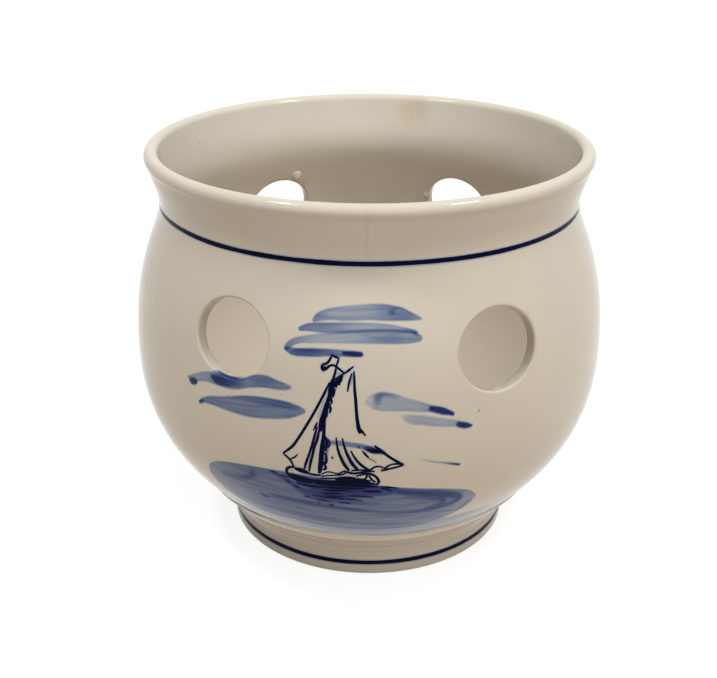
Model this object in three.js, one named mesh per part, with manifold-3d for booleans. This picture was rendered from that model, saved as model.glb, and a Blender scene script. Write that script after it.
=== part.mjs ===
// A round glazed earthenware pot: a globe-shaped belly pierced with six round holes, a short tapered
// foot and a low flared collar with a rolled lip. It is cast in one piece and painted on its front.
// Millimetres, +Z up. The origin is the centre of the foot on the table, and the painted front faces -Y.

import * as THREE from 'three';
import { mergeVertices } from 'three/addons/utils/BufferGeometryUtils.js';
import Module from 'manifold-3d';

// Wall
const WALL = 4;
const FLOOR_THICKNESS = 4.5;

// Foot: a ring that the pot stands on, hollow underneath, whose outside sweeps out to the ledge
const FOOT_RADIUS = 43.3;
const FOOT_RING_WIDTH = 5.6;
const FOOT_RECESS = 3;
const FOOT_EDGE_ROUND = 1.8;
const FOOT_INSIDE_ROUND = 1.2;
const FOOT_STRAIGHT = 6.5;
const FOOT_SWEEP = 4.5;

// Ledge: the thin raised line where the foot meets the belly
const LEDGE_RADIUS = 52.5;
const LEDGE_HEIGHT = 19.9;
const LEDGE_LEAN = 40;
const LEDGE_REACH = 8.3;
const LEDGE_BEAD = 1.1;
const LEDGE_PROUD = 0.45;

// Belly
const BELLY_RADIUS = 70;
const BELLY_HEIGHT = 61.5;
const BELLY_FULLNESS_BELOW = 24;
const BELLY_FULLNESS_ABOVE = 28;

// Neck and collar
const NECK_RADIUS = 61;
const NECK_HEIGHT = 105;
const NECK_HOLLOW_BELOW = 7.3;
const NECK_HOLLOW_ABOVE = 4.5;
const COLLAR_LEAN = 14;
const COLLAR_REACH = 5.2;

// Rolled lip
const RIM_RADIUS = 64.5;
const RIM_HEIGHT = 120.5;
const LIP_THICKNESS = 4.2;
const LIP_CREASE_ANGLE = -45;

// Inside of the bowl
const FLOOR_FLAT_RADIUS = 22;
const FLOOR_SWEEP = 14;
const WALL_SWEEP = 7;

// Pierced holes, cut square to the wall in the soft clay with softened edges
const HOLE_COUNT = 6;
const FIRST_HOLE_TURN = 30;
const HOLE_DIAMETER = 22.6;
const HOLE_LEVEL = 83.4;
const HOLE_EDGE_ROUND = 1.2;
const HOLE_EDGE_TURN = 70;

// How far each hand-cut hole strays from the even ring, going round from the front right:
// turn in degrees, rise of its centre, and how much wider and taller it is, in millimetres
const HAND_CUT = [
  { turn: -0.7, rise: -2.4, wider: 1.6, taller: 0.5 },
  { turn: 0.4, rise: -0.6, wider: 0.3, taller: 0.1 },
  { turn: 0.5, rise: 0.8, wider: -0.4, taller: -0.6 },
  { turn: 0.2, rise: 0, wider: 0, taller: -0.4 },
  { turn: -0.6, rise: 0.3, wider: 0.2, taller: 0.3 },
  { turn: -1.7, rise: 0.1, wider: 0.9, taller: -1.3 },
];

// Fineness of the faceted surfaces: steps round the pot, round a hole and along each stretch of the outline
const ROUND_STEPS = 60;
const HOLE_STEPS = 24;
const HOLE_EDGE_STEPS = 3;
const OUTSIDE_STEPS = { below: 8, above: 9, collar: 4 };
const INSIDE_STEPS = { below: 5, above: 6, collar: 3 };
const MEASURING_STEPS = { below: 60, above: 60, collar: 30 };
const LIP_STEPS = { crease: 6, inside: 3 };
const BEAD_STEPS = 4;
const FOOT_STEPS = { recess: 2, edge: 3, sweep: 5 };
const BOWL_STEPS = 6;

const GLAZE_COLOUR = 0xd9d0c0;

const radians = THREE.MathUtils.degToRad;

// A direction that climbs, leaning outwards from upright by an angle in degrees.
function climb(lean) {
  return new THREE.Vector2(Math.sin(radians(lean)), Math.cos(radians(lean)));
}

// Points of a smooth bend between two places on the outline. It leaves the first and reaches the second
// along the given leans, and a longer reach keeps it straighter at that end.
function bend(from, fromLean, fromReach, to, toLean, toReach, steps) {
  const leaving = from.clone().addScaledVector(climb(fromLean), fromReach);
  const arriving = to.clone().addScaledVector(climb(toLean), -toReach);
  return new THREE.CubicBezierCurve(from, leaving, arriving, to).getPoints(steps);
}

// Points of an arc round a centre, between two angles counted from straight outwards.
function arc(centre, radius, fromAngle, toAngle, steps) {
  const clockwise = toAngle < fromAngle;
  return new THREE.EllipseCurve(
    centre.x, centre.y, radius, radius, radians(fromAngle), radians(toAngle), clockwise,
  ).getPoints(steps);
}

// The same points moved square to the line that they make, towards the inside of the pot.
function inset(points, distance) {
  return points.map((point, i) => {
    const before = points[Math.max(i - 1, 0)];
    const after = points[Math.min(i + 1, points.length - 1)];
    const along = after.clone().sub(before).normalize();
    return new THREE.Vector2(point.x - along.y * distance, point.y + along.x * distance);
  });
}

// Leaves out points that fall on the one before, so that the revolved skin has no empty faces.
function withoutRepeats(points) {
  return points.filter((point, i) => i === 0 || point.distanceTo(points[i - 1]) > 1e-3);
}

const ledgePoint = new THREE.Vector2(LEDGE_RADIUS, LEDGE_HEIGHT);
const bellyPoint = new THREE.Vector2(BELLY_RADIUS, BELLY_HEIGHT);
const neckPoint = new THREE.Vector2(NECK_RADIUS, NECK_HEIGHT);
const lipRadius = LIP_THICKNESS / 2;
const lipCentre = new THREE.Vector2(RIM_RADIUS - lipRadius, RIM_HEIGHT - lipRadius);
const lipPoints = [
  ...arc(lipCentre, lipRadius, LIP_CREASE_ANGLE, 90, LIP_STEPS.crease),
  ...arc(lipCentre, lipRadius, 90, 180, LIP_STEPS.inside).slice(1),
];

// The wall's face from the ledge to the crease under the lip, in three smooth bends.
function wallFace(steps) {
  const below = bend(ledgePoint, LEDGE_LEAN, LEDGE_REACH, bellyPoint, 0, BELLY_FULLNESS_BELOW, steps.below);
  const above = bend(bellyPoint, 0, BELLY_FULLNESS_ABOVE, neckPoint, 0, NECK_HOLLOW_BELOW, steps.above);
  const crease = lipPoints[0];
  const collar = bend(neckPoint, 0, NECK_HOLLOW_ABOVE, crease, COLLAR_LEAN, COLLAR_REACH, steps.collar);
  return [...below, ...above.slice(1), ...collar.slice(1)];
}

// The raised line is a shallow arc that stands proud of the wall, square to its slope.
function ledgeBead() {
  const sunk = LEDGE_BEAD - LEDGE_PROUD;
  const outward = climb(LEDGE_LEAN + 90);
  const centre = ledgePoint.clone().addScaledVector(outward, -sunk);
  const half = THREE.MathUtils.radToDeg(Math.acos(sunk / LEDGE_BEAD));
  return arc(centre, LEDGE_BEAD, -LEDGE_LEAN - half, -LEDGE_LEAN + half, BEAD_STEPS);
}

// The foot from the middle of its hollow underside, out under the ring and up to the ledge.
function footOutline(bead) {
  const ringInside = FOOT_RADIUS - FOOT_RING_WIDTH;
  const recessRound = new THREE.Vector2(ringInside - FOOT_INSIDE_ROUND, FOOT_RECESS - FOOT_INSIDE_ROUND);
  const edge = new THREE.Vector2(FOOT_RADIUS - FOOT_EDGE_ROUND, FOOT_EDGE_ROUND);
  const straight = new THREE.Vector2(FOOT_RADIUS, FOOT_STRAIGHT);
  return [
    new THREE.Vector2(0, FOOT_RECESS),
    ...arc(recessRound, FOOT_INSIDE_ROUND, 90, 0, FOOT_STEPS.recess),
    new THREE.Vector2(ringInside, 0),
    ...arc(edge, FOOT_EDGE_ROUND, -90, 0, FOOT_STEPS.edge),
    ...bend(straight, 0, FOOT_SWEEP, bead[0], LEDGE_LEAN, FOOT_SWEEP, FOOT_STEPS.sweep),
  ];
}

// The bowl inside, from the wall down to the flat of the floor and in to the middle.
function bowlFloor(start) {
  const floorHeight = FOOT_RECESS + FLOOR_THICKNESS;
  const flat = new THREE.Vector2(FLOOR_FLAT_RADIUS, floorHeight);
  const middle = new THREE.Vector2(0, floorHeight);
  return [...bend(flat, 90, FLOOR_SWEEP, start, LEDGE_LEAN, WALL_SWEEP, BOWL_STEPS).reverse(), middle];
}

// The whole cross-section, revolved into the pot's wall before it is pierced.
function potOutline() {
  const bead = ledgeBead();
  const outside = wallFace(OUTSIDE_STEPS);
  const inside = inset(wallFace(INSIDE_STEPS), WALL).reverse();
  return withoutRepeats([
    ...footOutline(bead),
    ...bead,
    ...outside.slice(1),
    ...lipPoints,
    ...inside.slice(1),
    ...bowlFloor(inside[inside.length - 1]),
  ]);
}

// Where the outer face lies at a height: its radius there, and how far it faces up, in radians.
function wallAt(height) {
  const face = wallFace(MEASURING_STEPS);
  const i = face.findIndex((point) => point.y > height);
  const low = face[i - 1];
  const high = face[i];
  const share = (height - low.y) / (high.y - low.y);
  return {
    radius: THREE.MathUtils.lerp(low.x, high.x, share),
    facingUp: Math.atan2(low.x - high.x, high.y - low.y),
  };
}

// A spool that removes one hole: a straight bore whose two ends open out in rounded edges. Its axis is +Y,
// with the wall's outer face at y = 0, and it reaches past both faces.
function holeSpool() {
  const bore = HOLE_DIAMETER / 2;
  const past = HOLE_EDGE_ROUND * 2;
  const mouth = bore + HOLE_EDGE_ROUND;
  const outerSag = mouth ** 2 / (2 * BELLY_RADIUS);
  const innerSag = mouth ** 2 / (2 * (BELLY_RADIUS - WALL));
  const outerEdge = new THREE.Vector2(mouth, -outerSag - HOLE_EDGE_ROUND);
  const innerEdge = new THREE.Vector2(mouth, -innerSag - WALL + HOLE_EDGE_ROUND);
  const innerArc = arc(innerEdge, HOLE_EDGE_ROUND, 180 + HOLE_EDGE_TURN, 180, HOLE_EDGE_STEPS);
  const outerArc = arc(outerEdge, HOLE_EDGE_ROUND, 180, 180 - HOLE_EDGE_TURN, HOLE_EDGE_STEPS);
  const flare = past * Math.tan(radians(HOLE_EDGE_TURN));
  const innerEnd = new THREE.Vector2(flare, -past).add(innerArc[0]);
  const outerEnd = new THREE.Vector2(flare, past).add(outerArc[HOLE_EDGE_STEPS]);
  return new THREE.LatheGeometry(
    [
      new THREE.Vector2(0, innerEnd.y),
      innerEnd,
      ...innerArc,
      ...outerArc,
      outerEnd,
      new THREE.Vector2(0, outerEnd.y),
    ],
    HOLE_STEPS,
  );
}

// The spool turned and placed for one hole of the ring.
function placedSpool(index) {
  const cut = HAND_CUT[index % HAND_CUT.length];
  const turn = radians(FIRST_HOLE_TURN + (index * 360) / HOLE_COUNT + cut.turn);
  const height = HOLE_LEVEL + cut.rise;
  const wall = wallAt(height);
  const geometry = holeSpool();
  geometry.scale(1 + cut.wider / HOLE_DIAMETER, 1, 1 + cut.taller / HOLE_DIAMETER);
  geometry.rotateX(Math.PI - wall.facingUp);
  geometry.translate(0, -wall.radius, height);
  geometry.rotateZ(turn);
  return geometry;
}

const wasm = await Module();
wasm.setup();

// A closed three.js geometry as a solid, and back.
function toSolid(geometry) {
  const bare = geometry.clone();
  bare.deleteAttribute('normal');
  bare.deleteAttribute('uv');
  const merged = mergeVertices(bare, 1e-4);
  return new wasm.Manifold(
    new wasm.Mesh({
      numProp: 3,
      vertProperties: merged.attributes.position.array,
      triVerts: new Uint32Array(merged.index.array),
    }),
  );
}

function toGeometry(solid) {
  const mesh = solid.getMesh();
  const geometry = new THREE.BufferGeometry();
  geometry.setAttribute('position', new THREE.BufferAttribute(mesh.vertProperties, 3));
  geometry.setIndex(new THREE.BufferAttribute(mesh.triVerts, 1));
  geometry.computeVertexNormals();
  return geometry;
}

// The cast pot: the revolved wall less its six holes.
function potBody() {
  const revolved = new THREE.LatheGeometry(potOutline(), ROUND_STEPS);
  revolved.rotateX(Math.PI / 2);
  let solid = toSolid(revolved);
  for (let index = 0; index < HOLE_COUNT; index += 1) {
    solid = solid.subtract(toSolid(placedSpool(index)));
  }
  const glaze = new THREE.MeshStandardMaterial({ color: GLAZE_COLOUR, roughness: 0.22, metalness: 0 });
  const mesh = new THREE.Mesh(toGeometry(solid), glaze);
  mesh.name = 'pot_body';
  return mesh;
}

const pot = new THREE.Group();
pot.name = 'pierced_pot';
pot.add(potBody());

export default pot;
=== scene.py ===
# %% [markdown]
# # A pierced earthenware pot, painted in blue
#
# The real pot is one piece of slip-cast earthenware, about 14 cm across. Six round holes are cut through
# its wall, and a sailing boat, its sea and some clouds are painted on the front with cobalt.
# The lesson goes the way of the pottery: the wall is drawn and turned, the holes are cut, the painting is
# laid on, and the glaze goes over everything. Blender works here in metres, and the potter in millimetres.

# %% Load the frame
import math

import bpy
import numpy as np
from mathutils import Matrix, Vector, noise
from mathutils.geometry import interpolate_bezier


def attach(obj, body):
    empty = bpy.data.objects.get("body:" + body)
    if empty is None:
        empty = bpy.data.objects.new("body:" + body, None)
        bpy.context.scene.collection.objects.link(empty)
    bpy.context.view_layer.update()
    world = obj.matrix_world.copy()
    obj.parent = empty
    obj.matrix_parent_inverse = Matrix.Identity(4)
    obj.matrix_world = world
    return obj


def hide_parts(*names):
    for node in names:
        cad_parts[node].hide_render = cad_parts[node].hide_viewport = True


MM = 0.001
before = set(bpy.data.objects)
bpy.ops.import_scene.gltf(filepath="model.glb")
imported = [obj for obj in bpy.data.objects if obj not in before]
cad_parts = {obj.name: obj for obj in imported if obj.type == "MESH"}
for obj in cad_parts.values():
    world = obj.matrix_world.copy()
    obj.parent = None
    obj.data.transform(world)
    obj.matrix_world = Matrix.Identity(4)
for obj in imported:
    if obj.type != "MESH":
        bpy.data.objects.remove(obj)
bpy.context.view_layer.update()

# %% [markdown]
# ## Camera
#
# The pot was photographed from just above, at arm's length, so its mouth shows as a flat oval.
# A camera could be aimed at a target by a constraint. Plain angles are used instead, because they were
# measured on the pot's own circles: how flat an oval looks tells how far down the camera looks.

# %% Place the camera
CAMERA_BACK = 326.65 * MM
CAMERA_HEIGHT = 202.27 * MM
LOOKS_DOWN = 23.90
TURNS_LEFT = 0.554
FOCAL_PIXELS = 1150
PICTURE_WIDTH = 717
SENSOR_WIDTH = 36

camera_data = bpy.data.cameras.new("camera")
camera_data.sensor_width = SENSOR_WIDTH
camera_data.lens = FOCAL_PIXELS * SENSOR_WIDTH / PICTURE_WIDTH
camera = bpy.data.objects.new("camera", camera_data)
camera.location = (0, -CAMERA_BACK, CAMERA_HEIGHT)
camera.rotation_euler = (math.radians(90 - LOOKS_DOWN), 0, math.radians(TURNS_LEFT))
bpy.context.scene.collection.objects.link(camera)
bpy.context.scene.camera = camera
print("Lens:", round(camera_data.lens, 2), "mm")

# %% [markdown]
# ## The outline
#
# A pot is round, so its whole shape is one line from the middle of the underside, up the outside, over
# the lip and down the inside. A traced polygon would do, but it shows its corners. Here each stretch is a
# Bezier curve with two knots, which is how a potter sees it: a place, a lean and how long it holds.
# A lean is counted in degrees outwards from upright.

# %% Draw one stretch of the outline
def climb(lean):
    """The direction that goes up the outline with this lean."""
    return Vector((math.sin(math.radians(lean)), 0, math.cos(math.radians(lean))))


def place(radius, height):
    """A place on the outline, in millimetres."""
    return Vector((radius, 0, height))


drawn = []


def draw_bend(start, start_lean, start_reach, end, end_lean, end_reach, steps):
    """Draws a stretch along the two leans, in so many steps. A long reach keeps it straight for longer."""
    bpy.ops.curve.primitive_bezier_curve_add()
    curve = bpy.context.object
    spline = curve.data.splines[0]
    spline.resolution_u = steps
    knots = spline.bezier_points
    for knot, centre, lean, reach in (
        (knots[0], start, start_lean, start_reach),
        (knots[1], end, end_lean, end_reach),
    ):
        knot.handle_left_type = knot.handle_right_type = "FREE"
        knot.co = centre * MM
        knot.handle_left = (centre - climb(lean) * reach) * MM
        knot.handle_right = (centre + climb(lean) * reach) * MM
    drawn.append(curve)
    return knots[0].co, knots[0].handle_right, knots[1].handle_left, knots[1].co


def draw_line(start, end, steps):
    """Draws a straight stretch."""
    way = end - start
    lean = math.degrees(math.atan2(way.x, way.z))
    return draw_bend(start, lean, way.length / 3, end, lean, way.length / 3, steps)


def draw_arc(centre, radius, first, last, steps):
    """Draws part of a circle between two angles, counted from straight outwards."""
    ends = [centre + radius * climb(90 - angle) for angle in (first, last)]
    reach = 4 / 3 * math.tan(math.radians(last - first) / 4) * radius
    return draw_bend(ends[0], -first, reach, ends[1], -last, reach, steps)


print("A wall that leans 30 degrees climbs along", [round(v, 2) for v in climb(30)])

# %% [markdown]
# ## The pot's sizes
#
# The belly is the widest place, and everything else was measured against it. The foot is a ring with a
# hollow under it, and a thin raised line, the ledge, marks where the foot ends and the belly begins.
# Above its straight part the foot sweeps out to meet the ledge, and is drawn with its own reach and lean.
# The inside follows the outside at the wall's thickness, as the skin of clay in a plaster mould does.
# Lengths are in millimetres and leans in degrees.

# %% Name the places on the outline
WALL = 4.0
FOOT = {"radius": 43.3, "ring": 5.6, "recess": 3.0, "edge": 1.8, "inside": 1.2, "corner": 0.4}
FOOT_TOP = {"height": 6.5, "sweep": 5.5, "lean": 29}
LEDGE = {"radius": 52.5, "height": 19.9, "lean": 40, "reach": 8.3, "bead": 1.1, "proud": 0.45}
BELLY = {"radius": 70.0, "height": 61.5, "below": 24.0, "above": 28.0}
NECK = {"radius": 61.0, "height": 105.0, "below": 7.3, "above": 4.5}
COLLAR = {"lean": 14, "reach": 5.2}
LIP = {"radius": 64.5, "height": 120.5, "round": 2.1, "crease": -45}
BOWL = {"floor": 7.5, "flat": 22.0, "floor_reach": 14.0, "wall_reach": 7.0}

ledge = place(LEDGE["radius"], LEDGE["height"])
belly = place(BELLY["radius"], BELLY["height"])
neck = place(NECK["radius"], NECK["height"])
lip_centre = place(LIP["radius"] - LIP["round"], LIP["height"] - LIP["round"])
crease = lip_centre + LIP["round"] * climb(90 - LIP["crease"])
lip_inside = lip_centre + LIP["round"] * climb(COLLAR["lean"] - 90)
print("Height of the outline:", LIP["height"], "mm, width:", 2 * BELLY["radius"], "mm")

# %% Draw the foot and the ledge
ring_inside = FOOT["radius"] - FOOT["ring"]
soft = FOOT["inside"]
foot_edge = place(FOOT["radius"] - FOOT["edge"], FOOT["edge"])
recess_round = place(ring_inside - soft, FOOT["recess"] - soft)
foot_top = place(FOOT["radius"], FOOT_TOP["height"])
sunk = LEDGE["bead"] - LEDGE["proud"]
bead_centre = ledge - sunk * climb(LEDGE["lean"] + 90)
bead_half = math.degrees(math.acos(sunk / LEDGE["bead"]))
bead_first = -LEDGE["lean"] - bead_half
bead_last = -LEDGE["lean"] + bead_half
bead_start = bead_centre + LEDGE["bead"] * climb(90 - bead_first)
bead_end = bead_centre + LEDGE["bead"] * climb(90 - bead_last)
corner = FOOT["corner"]

draw_line(place(0, FOOT["recess"]), recess_round + place(0, soft), 8)
draw_arc(recess_round, soft, 90, 0, 4)
ring_corner = place(ring_inside + corner, corner)
draw_line(recess_round + place(soft, 0), ring_corner - place(corner, 0), 1)
draw_arc(ring_corner, corner, 180, 270, 3)
draw_line(ring_corner - place(0, corner), foot_edge - place(0, FOOT["edge"]), 3)
draw_arc(foot_edge, FOOT["edge"], -90, 0, 5)
face_stretches = [
    draw_line(foot_edge + place(FOOT["edge"], 0), foot_top, 5),
    draw_bend(foot_top, 0, FOOT_TOP["sweep"], bead_start, FOOT_TOP["lean"], FOOT_TOP["sweep"], 24),
    draw_arc(bead_centre, LEDGE["bead"], bead_first, bead_last, 8),
]
print("Foot stretches:", len(drawn))

# %% Draw the outer wall, the lip and the inside
bead_taken = (bead_end - ledge).length
face_stretches += [
    draw_bend(bead_end, LEDGE["lean"], LEDGE["reach"] - bead_taken, belly, 0, BELLY["below"], 24),
    draw_bend(belly, 0, BELLY["above"], neck, 0, NECK["below"], 22),
    draw_bend(neck, 0, NECK["above"], crease, COLLAR["lean"], COLLAR["reach"], 9),
]
draw_arc(lip_centre, LIP["round"], LIP["crease"], 90, 12)
draw_arc(lip_centre, LIP["round"], 90, 180 - COLLAR["lean"], 6)

inner_belly = belly - place(WALL, 0)
inner_neck = neck - place(WALL, 0)
inner_ledge = ledge - WALL * climb(LEDGE["lean"] + 90)
inner_share = (inner_belly - inner_ledge).length / (belly - ledge).length
inner_hollow = NECK["below"] + WALL / 3
floor_edge = place(BOWL["flat"], BOWL["floor"])
down = 180
draw_bend(lip_inside, down + COLLAR["lean"], COLLAR["reach"], inner_neck, down, NECK["above"], 8)
inner_stretch = draw_bend(inner_neck, down, inner_hollow, inner_belly, down, BELLY["above"], 18)
draw_bend(
    inner_belly, down, BELLY["below"] * inner_share,
    inner_ledge, down + LEDGE["lean"], LEDGE["reach"] * inner_share, 18,
)
draw_bend(inner_ledge, down + LEDGE["lean"], BOWL["wall_reach"], floor_edge, 270, BOWL["floor_reach"], 14)
draw_line(floor_edge, place(0, BOWL["floor"]), 6)
print("Stretches in the whole outline:", len(drawn))

# %% [markdown]
# ## Measuring the outer face
#
# The holes and the painting sit on the outer face, so the script needs to know how far out the wall is at
# any height, and how much it leans there. The same Bezier stretches are sampled finely for that, which
# keeps one shape behind both the clay and the paint. One stretch of the inner face is sampled as well, for
# the two beads of glaze that hang there.

# %% Sample the outer face
FACE_SAMPLES = 200
NEVER_ZERO = 1e-12
sampled = [point for stretch in face_stretches for point in interpolate_bezier(*stretch, FACE_SAMPLES)]
face_points = np.array([(point.x, point.z) for point in sampled])
face_radius, face_height = face_points[np.argsort(face_points[:, 1], kind="stable")].T
face_lean = np.arctan2(np.gradient(face_radius), np.gradient(face_height) + NEVER_ZERO)
inner_samples = interpolate_bezier(*inner_stretch, FACE_SAMPLES)[::-1]
inner_radius, inner_height = np.array([(point.x, point.z) for point in inner_samples]).T


def wall_radius(height):
    """How far out the outer face is at a height, in metres."""
    return np.interp(height, face_height, face_radius)


def wall_faces_up(height):
    """How far the outer face looks upwards at a height, in radians."""
    return -np.interp(height, face_height, face_lean)


print("Wall at the belly:", round(float(wall_radius(BELLY["height"] * MM)) / MM, 2), "mm out")

# %% [markdown]
# ## Turning the wall
#
# A lathe in Blender is the Spin operator: the outline goes once round the upright axis. A Screw modifier
# would do the same. Spin leaves plain faces at once, which the next step divides and cuts.
# The turned skin can come out with its faces inwards, so its doubles are merged and its normals are
# recalculated.

# %% Spin the outline into a closed wall
ROUND_STEPS = 144
SAME_PLACE = 0.004 * MM


def only(*objects):
    """Selects these objects and nothing else, and makes the first one active."""
    bpy.ops.object.select_all(action="DESELECT")
    for item in objects:
        item.select_set(True)
    bpy.context.view_layer.objects.active = objects[0]


def close_up():
    """Merges doubles and turns all faces outwards, in edit mode."""
    bpy.ops.mesh.select_all(action="SELECT")
    bpy.ops.mesh.remove_doubles(threshold=SAME_PLACE)
    bpy.ops.mesh.normals_make_consistent(inside=False)


def spin_up(steps):
    """Joins the drawn stretches and turns them once round the axis, as one closed skin."""
    only(*drawn)
    bpy.ops.object.join()
    bpy.ops.object.convert(target="MESH")
    bpy.ops.object.mode_set(mode="EDIT")
    bpy.ops.mesh.select_all(action="SELECT")
    bpy.ops.mesh.remove_doubles(threshold=SAME_PLACE)
    bpy.ops.mesh.select_all(action="SELECT")
    bpy.ops.mesh.spin(steps=steps, angle=2 * math.pi, center=(0, 0, 0), axis=(0, 0, 1))
    close_up()
    bpy.ops.object.mode_set(mode="OBJECT")
    drawn.clear()
    return bpy.context.object


pot = spin_up(ROUND_STEPS)
pot.name = pot.data.name = "glazed_pot"
print("Turned wall:", len(pot.data.polygons), "faces")

# %% [markdown]
# ## A finer front
#
# The painted washes will be kept as one number at each corner of the mesh, so the painted front needs
# corners less than half a millimetre apart, and the rest of the pot doesn't. Only the faces there are
# divided. Each small face is then poked, which puts a corner in its middle: a slanted edge of a wash would
# look like a saw on plain squares. An even mesh that fine would be ten times as heavy.

# %% Divide the faces under the painting
PAINTED_TURNS = (-46, 28)
PAINTED_HEIGHTS = (20.4 * MM, 97.5 * MM)
PAINTED_CUTS = 4


def select_faces(mesh, wanted):
    """Selects the faces for which wanted(centre, normal) is true, in object mode."""
    bpy.ops.object.mode_set(mode="EDIT")
    bpy.ops.mesh.select_mode(type="FACE")
    bpy.ops.mesh.select_all(action="DESELECT")
    bpy.ops.object.mode_set(mode="OBJECT")
    chosen = [wanted(face.center, face.normal) for face in mesh.polygons]
    mesh.polygons.foreach_set("select", chosen)
    bpy.ops.object.mode_set(mode="EDIT")
    return sum(chosen)


def under_painting(centre, normal):
    """True for a face of the outer wall that the painting will cover."""
    turn = math.degrees(math.atan2(centre.x, -centre.y))
    outside = centre.x * normal.x + centre.y * normal.y > 0
    in_turn = PAINTED_TURNS[0] < turn < PAINTED_TURNS[1]
    return outside and in_turn and PAINTED_HEIGHTS[0] < centre.z < PAINTED_HEIGHTS[1]


only(pot)
count = select_faces(pot.data, under_painting)
bpy.ops.mesh.subdivide(number_cuts=PAINTED_CUTS)
bpy.ops.mesh.poke()
bpy.ops.object.mode_set(mode="OBJECT")
bpy.ops.object.shade_smooth()
print("Faces divided:", count, "- faces now:", len(pot.data.polygons))

# %% [markdown]
# ## Cutting the holes
#
# On the real pot each hole was cut through the leather-hard clay with a tube and its edges were wiped
# round with a sponge. A bevel can't run along an edge that crosses so many small faces, so the cutter
# carries the roundness: it is a spool whose two ends flare out nearly level with the wall. Each spool is
# turned from an outline of its own, then its flares are pushed to the depth of the wall around the hole.
# Its rounding turns by 80 degrees and crosses the wall 6 degrees before that, so that the cut is clean.

# %% Name the holes
HOLE_ROUND = 0.85
HOLE_TURN = 80
HOLE_CROSSES = 6
HOLE_STEPS = 96
HOLES = {
    "front_right": (29.5, 81.0, 23.4, 22.0),
    "right": (90.4, 82.8, 22.9, 22.7),
    "back_right": (151.4, 84.1, 21.8, 21.6),
    "back_left": (209.6, 83.2, 22.1, 21.7),
    "left": (269.4, 83.7, 22.8, 22.9),
    "front_left": (328.3, 83.2, 22.4, 20.7),
}
print("Holes:", len(HOLES), "- named by turn, height, width and height of the bore, in degrees and mm")

# %% Set a spool square to the wall
SAG_TRIES = 6


def hole_frame(turn, height):
    """The middle of a hole on the outer face, and the ways outward, across and upward there."""
    up = float(wall_faces_up(height * MM))
    a = math.radians(turn)
    outward = Vector((math.sin(a) * math.cos(up), -math.cos(a) * math.cos(up), math.sin(up)))
    across = Vector((math.cos(a), math.sin(a), 0))
    middle = Vector((math.sin(a), -math.cos(a), 0)) * float(wall_radius(height * MM))
    middle.z = height * MM
    return middle, outward, across, outward.cross(across)


def fit_to_wall(cutter, turn, height, wider, taller):
    """Makes the spool oval, sets it square to the wall, and pushes it in where the wall curves away."""
    middle, outward, across, upward = hole_frame(turn, height)
    for vertex in cutter.data.vertices:
        x, y, depth = vertex.co.x * wider, vertex.co.y * taller, vertex.co.z
        flat = middle + across * x + upward * y
        sag = 0.0
        for _ in range(SAG_TRIES):
            point = flat - outward * sag
            sag += math.hypot(point.x, point.y) - float(wall_radius(point.z))
        vertex.co = flat + outward * (depth - sag)


first_hole = HOLES["front_right"]
print("The first hole looks", [round(v, 2) for v in hole_frame(*first_hole[:2])[1]])

# %% Make one spool
def make_cutter(turn, height, width, tall):
    """A spool for one hole. It is modelled along Z with the wall's outer face at zero."""
    bore = (width + tall) / 4
    mouth = bore + HOLE_ROUND
    past = HOLE_ROUND * 2
    lift = HOLE_ROUND * math.sin(math.radians(HOLE_TURN - HOLE_CROSSES))
    flare = past * math.tan(math.radians(HOLE_TURN))
    outer_centre = place(mouth, -lift)
    inner_centre = place(mouth, lift - WALL)
    outer_end = outer_centre + HOLE_ROUND * climb(HOLE_TURN - 90)
    inner_end = inner_centre + HOLE_ROUND * climb(-HOLE_TURN - 90)
    outer_tip = outer_end + place(flare, past)
    inner_tip = inner_end + place(flare, -past)
    draw_line(place(0, inner_tip.z), inner_tip, 1)
    draw_line(inner_tip, inner_end, 1)
    draw_arc(inner_centre, HOLE_ROUND, 180 + HOLE_TURN, 180, 8)
    draw_line(inner_centre - place(HOLE_ROUND, 0), outer_centre - place(HOLE_ROUND, 0), 3)
    draw_arc(outer_centre, HOLE_ROUND, 180, 180 - HOLE_TURN, 8)
    draw_line(outer_end, outer_tip, 1)
    draw_line(outer_tip, place(0, outer_tip.z), 1)
    cutter = spin_up(HOLE_STEPS)
    fit_to_wall(cutter, turn, height, width / 2 / bore, tall / 2 / bore)
    return cutter


cutters = [make_cutter(*hole) for hole in HOLES.values()]
print("Cutters:", len(cutters), "with", len(cutters[0].data.vertices), "corners each")

# %% Cut the holes
only(*cutters)
bpy.ops.object.join()
cutter = bpy.context.object
only(pot)
bpy.ops.object.duplicate()
whole = bpy.context.object
only(pot)
cut = pot.modifiers.new("holes", "BOOLEAN")
cut.operation = "DIFFERENCE"
cut.solver = "EXACT"
cut.object = cutter
bpy.ops.object.modifier_apply(modifier=cut.name)
only(cutter)
bpy.ops.object.delete()
print("Pierced wall:", len(pot.data.polygons), "faces")

# %% [markdown]
# ## Keeping the wall's sheen smooth
#
# A cut leaves long thin faces beside each hole, and a glossy glaze would show them as dents. The uncut
# wall still has perfectly even normals, so they are copied back to every corner that lies outside the
# cut edges. The Data Transfer modifier does this by place.

# %% Copy the normals of the uncut wall
ON_CUT_EDGE = 0.985
hole_frames = [(*hole_frame(turn, height), width, tall) for turn, height, width, tall in HOLES.values()]


def outside_holes(point):
    """True for a corner that lies on the turned wall and not on a cut edge."""
    for middle, outward, across, upward, width, tall in hole_frames:
        offset = (point - middle) / MM
        same_side = offset.dot(outward) > -2 * WALL
        x = offset.dot(across) / (width / 2 + HOLE_ROUND)
        y = offset.dot(upward) / (tall / 2 + HOLE_ROUND)
        if same_side and math.hypot(x, y) < ON_CUT_EDGE:
            return False
    return True


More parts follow.
